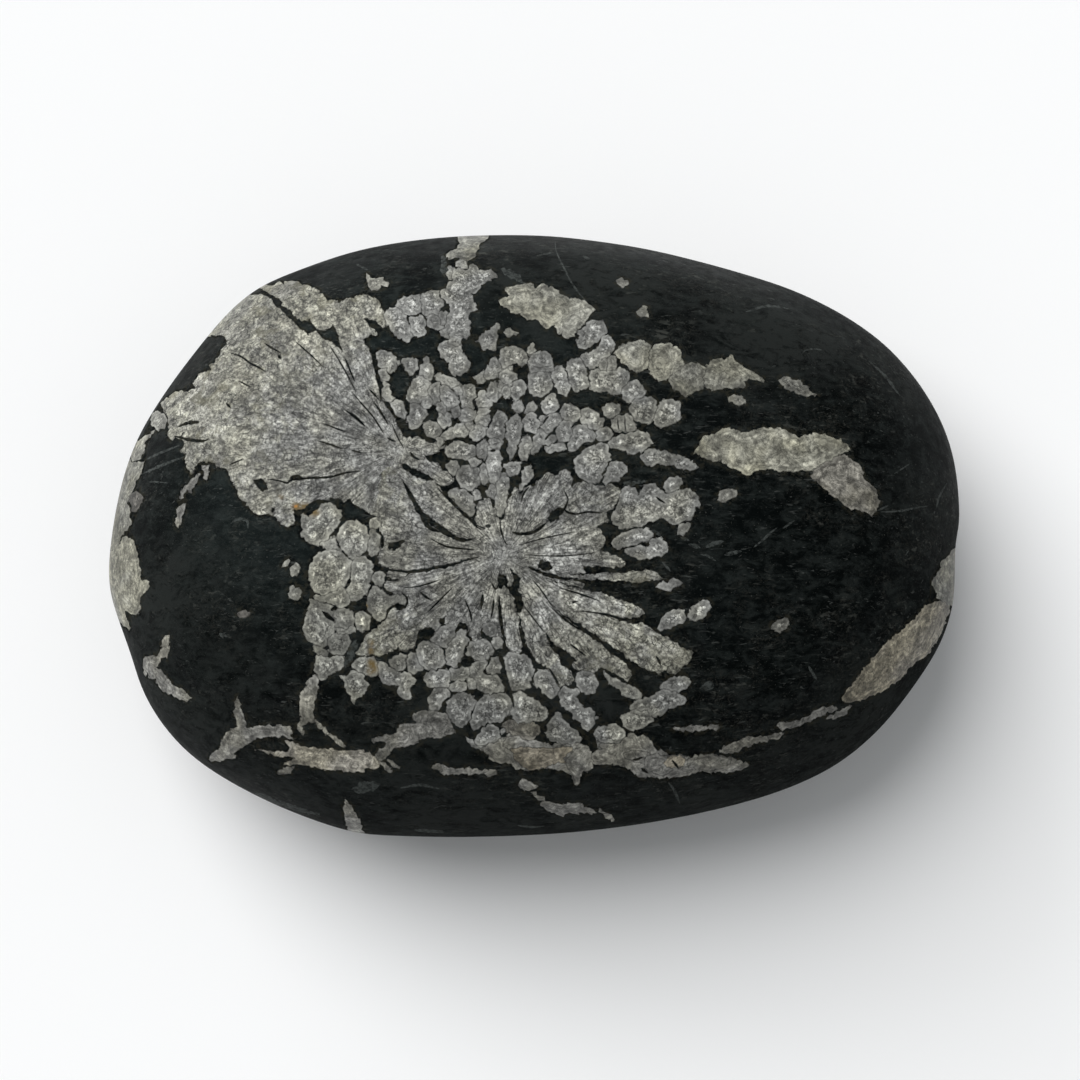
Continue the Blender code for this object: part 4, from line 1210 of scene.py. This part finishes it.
fills = (
    (seen_spots(FINE_PX), True, FINE_PX * MM_PER_PX / 1000),
    (seen_spots(COARSE_PX), False, COARSE_PX * MM_PER_PX / 1000),
    (hidden_spots(FINE_HIDDEN), True, FINE_HIDDEN),
    (hidden_spots(COARSE_HIDDEN), False, COARSE_HIDDEN),
)
for spots, in_crystal, spacing in fills:
    crystalline = np.zeros(len(spots), bool)
    for loop in loops[: LAST_CRYSTAL + 1]:
        crystalline[inside(loop, spots)] = True
    kept = spots[crystalline == in_crystal]
    least = min(spacing, FINE_HIDDEN) * CLEARANCE
    corners += [Vector(spot) for spot in kept if taken.find((*spot, 0))[2] > least]

last_reach = 2 * math.tan(LOWEST / 2)
for k in range(LAST_RING):
    turn = math.tau * k / LAST_RING
    corners.append(Vector((last_reach * HALF.x * math.cos(turn), last_reach * HALF.y * math.sin(turn))))

spots, _, faces, origins, _, _ = geometry.delaunay_2d_cdt(corners, outline_edges, [], 0, NEAREST, True)
points = [roll(spot)[0] for spot in spots]
for point in points:
    point.z = max(point.z, 0.0)

# The crystal that each face belongs to, or -1 for limestone. A crystal lies over those drawn before it.
centres = np.array([sum((spots[k] for k in face), Vector((0, 0))) / len(face) for face in faces])
owners = np.full(len(faces), -1)
for number, loop in enumerate(loops):
    owners[inside(loop, centres)] = number if number <= LAST_CRYSTAL else -1
owners = owners.tolist()

mesh = stone.data
mesh.clear_geometry()
ring_ids = {first: k for k, first in enumerate(range(len(corners) - LAST_RING, len(corners)))}
ring = sorted((ring_ids[old], k) for k, olds in enumerate(origins) for old in olds if old in ring_ids)
mesh.from_pydata(points, [], [*faces, [k for _, k in reversed(ring)]])
owners.append(-1)
mesh.shade_smooth()


def mass_of(face):
    """The mass of crystal that a face belongs to. A face in none, or in a scrape, is limestone."""
    mass = crystals[owners[face]]["mass"] if owners[face] >= 0 else "limestone"
    return "limestone" if mass == "scraped" else mass


sides = {}
for number, face in enumerate(faces):
    for k, corner in enumerate(face):
        sides.setdefault(frozenset((face[k - 1], corner)), []).append(number)
seams = [side for side, pair in sides.items() if len(pair) == 2 and mass_of(pair[0]) != mass_of(pair[1])]
near_seam = kdtree.KDTree(3 * len(seams))
for number, side in enumerate(seams):
    start, end = (points[k] for k in side)
    for step in range(3):
        near_seam.insert(start.lerp(end, step / 3), 3 * number + step)
near_seam.balance()


def write(name, kind, domain, values):
    """Keeps values on the mesh, one for each of its points or faces, for the materials to read."""
    field = "value" if kind == "FLOAT" else "vector" if kind == "FLOAT_VECTOR" else "color"
    mesh.attributes.new(name, kind, domain).data.foreach_set(field, np.array(values, np.float32).ravel())


def in_mass(mass):
    """Whether each face is in a crystal of a mass."""
    return [n >= 0 and crystals[n]["mass"] == mass for n in owners]


ZONED_IN_FLOWERS = 0.12  # how much of a single crystal's rings the flowers' blades show

blades, scrapes = in_mass("flowers"), in_mass("scraped")
tints = [(*crystals[n]["colour"], 1) if n >= 0 else (0, 0, 0, 1) for n in owners]
hearts = [crystals[n]["heart"] if n >= 0 else (0, 0, 0) for n in owners]

write("rim", "FLOAT", "POINT", [near_seam.find(point)[2] * 1000 for point in points])
write("tint", "FLOAT_COLOR", "FACE", tints)
write("zoned", "FLOAT", "FACE", [ZONED_IN_FLOWERS if blade else 1.0 for blade in blades])
write("clear", "FLOAT", "FACE", [n >= 0 and crystals[n]["clear"] for n in owners])
write("scraped", "FLOAT", "FACE", scrapes)
write("heart", "FLOAT_VECTOR", "FACE", hearts)

# A flat layout of the skin, for textures: the face, large, over the
# underside. Each is an oval that is drawn out towards its rim, where the surface turns down.
FACE_OVAL = np.array(((0.5, 0.64), (0.48, 0.345)))  # its middle and half its size
UNDERSIDE_OVAL = np.array(((0.5, 0.14), (0.48, 0.12)))
LEVEL_SHARE = 0.6  # of a point's way out in its oval is its place seen from above, the rest its turn down

ways = np.array([[(point[k] - MIDDLE[k]) / HALF[k] for k in range(3)] for point in points])
across = ways[:, :2].copy()
plan = np.linalg.norm(across, axis=1)[:, None]
ways /= np.linalg.norm(ways, axis=1)[:, None]
corner_points = np.array([loop.vertex_index for loop in mesh.loops])
below = np.array([ways[list(polygon.vertices), 2].mean() < 0 for polygon in mesh.polygons])
below = np.repeat(below, [polygon.loop_total for polygon in mesh.polygons])[:, None]
turned = np.arccos(ways[corner_points, 2:] * np.where(below, -1, 1)) / (math.pi / 2)
reach = LEVEL_SHARE * plan[corner_points] + (1 - LEVEL_SHARE) * turned
(middle, half), (low_middle, low_half) = FACE_OVAL, UNDERSIDE_OVAL
spread = (across / plan)[corner_points] * reach * np.where(below, low_half, half)
layout = spread + np.where(below, low_middle, middle)
mesh.uv_layers.new(name="OFBake").data.foreach_set("uv", layout.ravel())

# Stains in the crystals and the limestone, which fade out from their middles. The calcite is paler or
# duller in places and iron has rusted in it, and fine lime hazes the limestone. Each has its place, its
# radius in px and how strong it is.
PALER = (
    ((190, 405), 40, 0.22), ((240, 430), 40, 0.08), ((300, 498), 20, 0.25), ((122, 590), 20, 0.10),
    ((560, 545), 20, 0.25), ((625, 640), 34, 0.22), ((645, 508), 20, 0.25), ((363, 622), 9, 0.5),
    ((600, 620), 30, 0.14), ((518, 625), 26, 0.26), ((340, 760), 14, 0.25), ((845, 485), 34, 0.30),
    ((893, 645), 40, 0.28), ((770, 450), 36, 0.26), ((560, 612), 22, 0.22), ((318, 528), 14, 0.16),
    ((650, 765), 30, 0.15), ((590, 765), 36, 0.12), ((560, 700), 30, 0.12),
)
DULLER = (
    ((340, 440), 46, 0.22), ((270, 390), 60, 0.10), ((265, 310), 60, 0.16), ((485, 250), 26, 0.28),
    ((118, 540), 26, 0.36), ((150, 430), 40, 0.14), ((190, 485), 18, 0.35), ((430, 600), 60, 0.26),
    ((340, 665), 46, 0.17), ((250, 712), 30, 0.10), ((281, 342), 11, 0.45), ((195, 440), 18, 0.35),
    ((590, 500), 30, 0.28), ((575, 415), 40, 0.12), ((400, 500), 40, 0.1),
)
RUST = (
    ((295, 506), 2.6, 0.9), ((297, 507), 5, 0.5), ((304, 507), 5, 0.5), ((311, 510), 6, 0.6),
    ((317, 513), 4, 0.4), ((281, 497), 3, 0.5), ((366, 606), 2, 0.8), ((371, 643), 3, 0.55),
    ((371, 651), 3, 0.75), ((371, 663), 4, 0.6), ((374, 669), 5, 0.5), ((369, 673), 3, 0.4),
)
HAZE = (
    ((590, 285), 50, 0.9), ((540, 330), 30, 0.5), ((760, 330), 55, 1.0), ((820, 345), 40, 0.6),
    ((720, 372), 25, 0.3), ((240, 690), 55, 0.45), ((200, 730), 40, 0.3), ((530, 700), 36, 1.1),
    ((600, 692), 36, 0.8), ((440, 715), 35, 0.8), ((300, 796), 40, 0.6), ((200, 560), 50, 0.3),
    ((330, 275), 26, 0.5), ((500, 828), 30, 0.6), ((420, 828), 30, 0.6), ((580, 824), 30, 0.4),
    ((480, 812), 50, 0.5), ((580, 808), 50, 0.5), ((160, 690), 36, 0.5), ((215, 748), 36, 0.5),
    ((340, 650), 22, 0.7), ((860, 700), 40, 0.7), ((890, 684), 28, 0.8), ((834, 742), 30, 0.6),
    ((700, 800), 50, 0.6), ((400, 790), 60, 0.5), ((340, 760), 30, 0.5), ((160, 600), 50, 0.7),
    ((705, 552), 24, 0.2), ((780, 758), 36, 0.4), ((910, 480), 20, 0.6), ((282, 308), 20, 0.4),
    ((450, 300), 30, 0.5), ((640, 285), 36, 0.5), ((505, 278), 20, 0.7), ((545, 405), 24, 0.4),
    ((908, 396), 20, 0.5),
)


def stained(stains):
    """How strong some stains are together at each point of the mesh."""
    strengths = np.zeros(len(points))
    places = np.array([point[:] for point in points])
    for px, radius, strength in stains:
        gap = np.linalg.norm(places - np.array(under_pixel(px)[:]), axis=1) / (radius * MM_PER_PX / 1000)
        strengths += strength * np.exp(-gap * gap)
    return strengths


write("tone", "FLOAT", "POINT", 1 + stained(PALER) - stained(DULLER))
write("haze", "FLOAT", "POINT", stained(HAZE))
write("rust", "FLOAT", "POINT", np.clip(stained(RUST), 0, 1))

# Black limestone, fine and dense: nearly black, with faint streaks and smudges of paler lime mud, and
# browner where it fills the gaps in the flowers. It has a satin polish, and is duller along the front and
# the right side.
BLACK, LIME_BLACK = (0.0004, 0.0005, 0.0005, 1), (0.0128, 0.0151, 0.0142, 1)
STREAK, SMUDGE, SMEAR = (0.028, 0.029, 0.026, 1), (0.050, 0.052, 0.046, 1), (0.024, 0.023, 0.019, 1)
STROKE, SPECK, VEIL = (0.046, 0.049, 0.046, 1), (0.05, 0.05, 0.045, 1), (0.0150, 0.0165, 0.0155, 1)
SCRAPE, BROWN_MUD = (0.052, 0.057, 0.054, 1), (0.024, 0.022, 0.015, 1)
SATIN_IOR, SATIN_TINT = 1.14, (0.72, 1.0, 1.0, 1)
TOWARDS_DULL = (0.42, -0.91, 0.0)  # the way to the front and the right side
DULL_FROM, DULL_TO = 16.0, 38.0  # in millimetres that way from the stone's middle
TO_RIM = (0.016, 0.0225, 0.0)  # turns millimetres into a length of 1 at the widest outline
BUMP_HEIGHT = 0.0002


class Shade:
    """An output of a node in a material. Python's operators on it add Math nodes."""

    def __init__(self, tree, output):
        self.tree, self.output = tree, output

    def node(self, kind, settings, inputs, output=0):
        """Adds a node to the same tree: its settings first, then the values or links of its inputs."""
        node = self.tree.nodes.new("ShaderNode" + kind)
        for name, value in settings.items():
            setattr(node, name, value)
        for name, value in inputs.items():
            if isinstance(value, Shade):
                self.tree.links.new(value.output, node.inputs[name])
            else:
                node.inputs[name].default_value = value
        return Shade(self.tree, node.outputs[output])

    def math(self, operation, *values):
        return self.node("Math", {"operation": operation}, dict(enumerate(values)))

    def __add__(self, other):
        return self.math("ADD", self, other)

    def __sub__(self, other):
        return self.math("SUBTRACT", self, other)

    def __rsub__(self, other):
        return self.math("SUBTRACT", other, self)

    def __mul__(self, other):
        return self.math("MULTIPLY", self, other)

    __radd__, __rmul__ = __add__, __mul__

    def vector(self, operation, *values, output=0):
        inputs = dict(enumerate(values))
        if operation == "SCALE":
            inputs = {0: values[0], "Scale": values[1]}
        return self.node("VectorMath", {"operation": operation}, inputs, output)

    def stored(self, name, output=2):
        """What the mesh keeps under a name: a number, or with output 0 a colour and with 1 a vector."""
        return self.node("Attribute", {"attribute_name": name}, {}, output)

    def ramp(self, start, end, low=0.0, high=1.0):
        """From low to high, smoothly, as this goes from start to end."""
        ends = {"Value": self, "From Min": start, "From Max": end, "To Min": low, "To Max": high}
        return self.node("MapRange", {"interpolation_type": "SMOOTHSTEP"}, ends)

    def band(self, start, top, end):
        """1 at top and 0 at start and end."""
        return self.ramp(start, top) * self.ramp(top, end, 1.0, 0.0)

    def partly(self, share):
        """This factor where the share is 1, and 1 where the share is 0."""
        return 1.0 + share * (self - 1.0)

    def mix(self, first, second):
        """From one colour to another as this goes from 0 to 1."""
        return self.node("Mix", {"data_type": "RGBA"}, {0: self, 6: first, 7: second}, 2)

    def times(self, colour):
        """This colour multiplied by another."""
        multiply = {"data_type": "RGBA", "blend_type": "MULTIPLY"}
        return self.node("Mix", multiply, {0: 1.0, 6: self, 7: colour}, 2)

    def drawn_out(self, share):
        """This position, cut to a share along the stone, so that noise over it is drawn out that way."""
        return self.vector("MULTIPLY", self, (share, 1.0, 1.0))

    def noise(self, scale, detail=2.0, roughness=0.5, swirl=0.0):
        """Noise over this position. The scale is in lumps to a millimetre."""
        inputs = {"Vector": self, "Scale": scale, "Detail": detail, "Roughness": roughness}
        return self.node("TexNoise", {}, inputs | {"Distortion": swirl})


def finish(name):
    """A new material with its Principled shader, and the position on the stone in millimetres."""
    material = bpy.data.materials.new(name)
    material.use_nodes = True
    tree = material.node_tree
    position = Shade(tree, tree.nodes.new("ShaderNodeTexCoord").outputs["Object"])
    return material, tree.nodes["Principled BSDF"], position.vector("SCALE", position, 1000.0)


def wear(shader, inputs):
    """Links shades to a Principled shader's sockets."""
    for name, shade in inputs.items():
        shade.tree.links.new(shade.output, shader.inputs[name])


def limestone():
    material, shader, at = finish("black_limestone")
    shader.inputs["IOR"].default_value = SATIN_IOR
    shader.inputs["Specular Tint"].default_value = SATIN_TINT
    rim, haze, scraped = at.stored("rim"), at.stored("haze"), at.stored("scraped")
    mottle = at.drawn_out(0.55).noise(0.6, 6.0, 0.76, 0.4).ramp(0.42, 0.68)
    cloud = at.noise(0.11, 3.0, 0.6).ramp(0.42, 0.62)
    streak = at.drawn_out(0.30).noise(1.0, 5.0, 0.74, 2.2).ramp(0.54, 0.74)
    smudge = at.drawn_out(0.45).noise(1.3, 2.0, 0.6, 0.4).ramp(0.58, 0.70)
    stroke = at.drawn_out(0.22).noise(2.6, 2.0, 0.6, 0.6).ramp(0.60, 0.72)
    stroke = stroke * at.noise(0.25, 2.0).ramp(0.44, 0.60, 0.0, 0.9)
    smear = at.noise(0.8, 4.0, 0.62, 3.0).band(0.53, 0.60, 0.66)
    speck = at.noise(3.6, 1.0).ramp(0.69, 0.78)
    colour = mottle.mix(BLACK, LIME_BLACK)
    colour = (streak * (0.10 + 0.90 * cloud)).mix(colour, STREAK)
    colour = (smudge * cloud * 0.7).mix(colour, SMUDGE)
    colour = (smear * cloud * 0.6).mix(colour, SMEAR)
    colour = stroke.mix(colour, STROKE)
    colour = (0.7 * speck).mix(colour, SPECK)
    veil = haze * at.drawn_out(0.6).noise(0.5, 6.0, 0.74, 1.0).ramp(0.36, 0.66, 0.1, 1.9)
    colour = veil.mix(colour, VEIL)
    scraped = scraped * at.noise(1.6, 3.0, 0.7).ramp(0.36, 0.62, 0.15, 1.0)
    colour = scraped.mix(colour, SCRAPE)
    gap = rim.ramp(0.20, 0.80, 1.0, 0.0) * at.noise(1.3, 2.0, 0.65).ramp(0.46, 0.62)
    colour = (0.6 * gap).mix(colour, BROWN_MUD)
    dull = at.vector("DOT_PRODUCT", at, TOWARDS_DULL, output=1).ramp(DULL_FROM, DULL_TO)
    rounded = at.vector("LENGTH", at.vector("MULTIPLY", at, TO_RIM), output=1).ramp(0.86, 1.0)
    roughness = at.noise(0.7, 3.0).ramp(0.3, 0.7, 0.36, 0.46)
    roughness = roughness + 0.28 * dull + 0.25 * rounded + rim.ramp(0.1, 0.5, 0.4, 0.0)
    bump = at.node("Bump", {}, {"Height": at.noise(3.0, 3.0), "Strength": 0.12, "Distance": BUMP_HEIGHT})
    wear(shader, {"Base Color": colour, "Roughness": roughness, "Normal": bump})
    return material


# Calcite crystal, cut across: a clear grey rim, then a pale ring, and a core clouded with pale and dark
# grains and with painted glints, tiny white specks that stand for sparkles of light. In a flower there are
# no rims, and the grains lie in fibres that run out from its heart, with fine dark joints.
CALCITE_IOR = 1.3
OLIVE, RUST_BROWN, RUST_ORANGE = (0.100, 0.096, 0.068, 1), (0.125, 0.086, 0.030, 1), (0.36, 0.17, 0.035, 1)
AS_IT_IS, CREAMIER, WHITER = (1.0, 1.0, 1.0, 1), (1.04, 1.01, 0.87, 1), (1.14, 1.12, 0.98, 1)


def grey(shade):
    """A value as a colour."""
    return shade.node("CombineColor", {}, {0: shade, 1: shade, 2: shade})


def calcite():
    material, shader, at = finish("calcite_crystal")
    shader.inputs["IOR"].default_value = CALCITE_IOR
    rim, tone, rust = at.stored("rim"), at.stored("tone"), at.stored("rust")
    zoned, clear = at.stored("zoned"), at.stored("clear")
    tint, heart = at.stored("tint", 0), at.stored("heart", 1)
    out = at.vector("SUBTRACT", at, heart)
    reach = at.vector("LENGTH", out, output=1)
    way = at.vector("NORMALIZE", out)
    sway = at.vector("SCALE", at.node("TexNoise", {}, {"Vector": at, "Scale": 1.1, "Detail": 3.0}, 1), 0.9)
    swayed = at.vector("ADD", at, sway)

    def fibres(count, along, start):
        """Noise in fibres out from the heart: how many go round it, and how many lumps to a millimetre."""
        inputs = {"Vector": way, "W": reach * (along / count) + start}
        inputs |= {"Scale": count, "Detail": 2.0, "Roughness": 0.6}
        return at.node("TexNoise", {"noise_dimensions": "4D"}, inputs)

    def joints(size, width, start=0.0):
        """1 on the joints between lumps."""
        inputs = {"Vector": at.vector("ADD", swayed, (start, 0.0, 0.0)), "Scale": size}
        return at.node("TexVoronoi", {"feature": "DISTANCE_TO_EDGE"}, inputs).ramp(0.0, width, 1.0, 0.0)

    flower = 1.0 - zoned
    grain = at.noise(2.4, 2.0, 0.75, 0.4)
    fibre = fibres(34.0, 0.50, 0.0)
    ray = fibres(11.0, 0.20, 3.0)
    streaks = fibre.ramp(0.36, 0.64, 0.60, 1.46) * ray.ramp(0.38, 0.62, 0.74, 1.26)
    streaks = streaks.partly(flower * reach.ramp(18.0, 40.0, 1.0, 0.45))
    cloudy = at.noise(0.60, 3.0, 0.62, 0.8).ramp(0.36, 0.64, 0.60, 1.38)
    blotch = at.noise(0.22, 2.0).ramp(0.3, 0.7, 0.86, 1.14)
    depth = rim + 0.55 * (at.noise(1.0, 3.0) - 0.5)
    ring = 1.0 - 0.16 * depth.band(0.10, 0.45, 0.80) + 0.34 * depth.band(0.62, 0.86, 1.10)
    ring = ring.partly(zoned) + flower * 0.10 * depth.band(0.05, 0.30, 0.65)
    core = 1.0 - zoned * depth.ramp(0.35, 0.75, 0.70, 0.0)
    spots = at.noise(1.7, 2.0, 0.6, 0.8).ramp(0.38, 0.62, 0.60, 1.50)
    spots = spots.partly(core * zoned * (1.0 - 0.65 * clear))
    spots = spots * (1.0 - 0.45 * clear * at.noise(0.42, 2.0, 0.6, 2.5).band(0.46, 0.52, 0.58))
    spots = spots * at.noise(0.5, 2.0, 0.5, 1.2).ramp(0.38, 0.62, 0.76, 1.22).partly(clear)
    light = grain.ramp(0.36, 0.64, 0.54, 1.52).partly(core * (1.0 - 0.8 * clear))
    joint = joints(0.95, 0.09) * at.noise(0.5, 2.0).ramp(0.42, 0.58) * 0.7
    joint = joint + joints(0.42, 0.03, 7.0) * at.noise(0.4, 2.0).ramp(0.46, 0.60) * 0.6 * flower
    pit = at.noise(1.9, 3.0, 0.6).ramp(0.61, 0.67) * 0.6
    # Painted glints: tiny white specks in the core's colour that stand for sparkles of light off the crystal
    painted_glint = at.noise(4.2, 1.0).ramp(0.78, 0.84) * 0.5
    cleft = fibres(17.0, 0.12, 9.0).band(0.474, 0.5, 0.526)
    cleft = cleft * at.noise(0.55, 2.0).ramp(0.44, 0.56) * reach.ramp(0.8, 2.5) * 0.82
    edge = rim.ramp(0.0, 0.12, 0.42, 1.0) + 0.14 * zoned * rim.band(0.10, 0.22, 0.36)
    core = core * (1.0 - 0.5 * clear)
    marks = (1.0 - core * joint) * (1.0 - core * pit) * (1.0 - flower * cleft) * (1.0 + core * painted_glint)
    strength = light * streaks * spots * cloudy * blotch * ring * edge * tone * marks
    colour = tint.times(grey(strength))
    olive = flower * at.noise(0.34, 1.0, 0.5, 0.5).ramp(0.57, 0.66) * reach.ramp(12.0, 24.0)
    colour = (0.5 * olive).mix(colour, OLIVE)
    creamy = at.noise(0.14, 2.0).ramp(0.42, 0.62, 0.0, 0.6) + 0.6 * flower * reach.ramp(12.0, 30.0)
    creamy = creamy.mix(AS_IT_IS, CREAMIER)
    patch = flower * at.noise(0.40, 3.0, 0.6, 0.6).ramp(0.47, 0.60) * reach.ramp(9.0, 22.0)
    creamy = patch.mix(creamy, WHITER)
    colour = colour.times(creamy)
    rusty = rust.ramp(0.78, 0.98).mix(RUST_BROWN, RUST_ORANGE)
    soaked = rust.ramp(0.0, 0.66) * at.noise(1.3, 3.0, 0.7).ramp(0.34, 0.56, 0.50, 1.0)
    colour = soaked.mix(colour, rusty)
    height = grain * 0.5 + rim.ramp(0.0, 0.12)
    bump = at.node("Bump", {}, {"Height": height, "Strength": 0.25, "Distance": BUMP_HEIGHT})
    wear(shader, {"Base Color": colour, "Roughness": grain.ramp(0.36, 0.64, 0.55, 0.44), "Normal": bump})
    return material


mesh.materials.append(limestone())
mesh.materials.append(calcite())
calcite_faces = [int(n >= 0 and not scrape) for n, scrape in zip(owners, scrapes)]
mesh.polygons.foreach_set("material_index", calcite_faces)
mesh.update()

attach(stone, "root")
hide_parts(STONE_NODE)

# A plain pale floor, wide enough that it fills a level view, and two soft lights from the left and
# behind: one high and one low
FLOOR_RADIUS = 9.0
FLOOR_CORNERS = 96
FLOOR_COLOUR = (0.95, 0.95, 0.95, 1)
FLOOR_ROUGHNESS = 0.9
LIGHTS = ((Vector((-0.5, 0.5, 0.95)), 2.2), (Vector((-0.80, 0.92, 0.30)), 1.6))  # ways to them and strengths
LIGHT_WIDTH = math.radians(50)  # as seen from the stone
AMBIENT = (0.335, 0.345, 0.35, 1)

bpy.ops.object.select_all(action="DESELECT")
bpy.ops.mesh.primitive_circle_add(
    vertices=FLOOR_CORNERS, radius=FLOOR_RADIUS, fill_type="NGON", location=(0, 0, 0)
)
floor = bpy.context.object
floor.name = "floor"
paint = bpy.data.materials.new("pale_floor")
paint.use_nodes = True
paint.node_tree.nodes["Principled BSDF"].inputs["Base Color"].default_value = FLOOR_COLOUR
paint.node_tree.nodes["Principled BSDF"].inputs["Roughness"].default_value = FLOOR_ROUGHNESS
floor.data.materials.append(paint)

for source, strength in LIGHTS:
    bpy.ops.object.light_add(type="SUN", rotation=source.to_track_quat("Z", "Y").to_euler())
    bpy.context.object.data.energy = strength
    bpy.context.object.data.angle = LIGHT_WIDTH

world = bpy.data.worlds.new("studio")
world.use_nodes = True
world.node_tree.nodes["Background"].inputs["Color"].default_value = AMBIENT
bpy.context.scene.world = world
bpy.context.scene.view_settings.view_transform = "Standard"
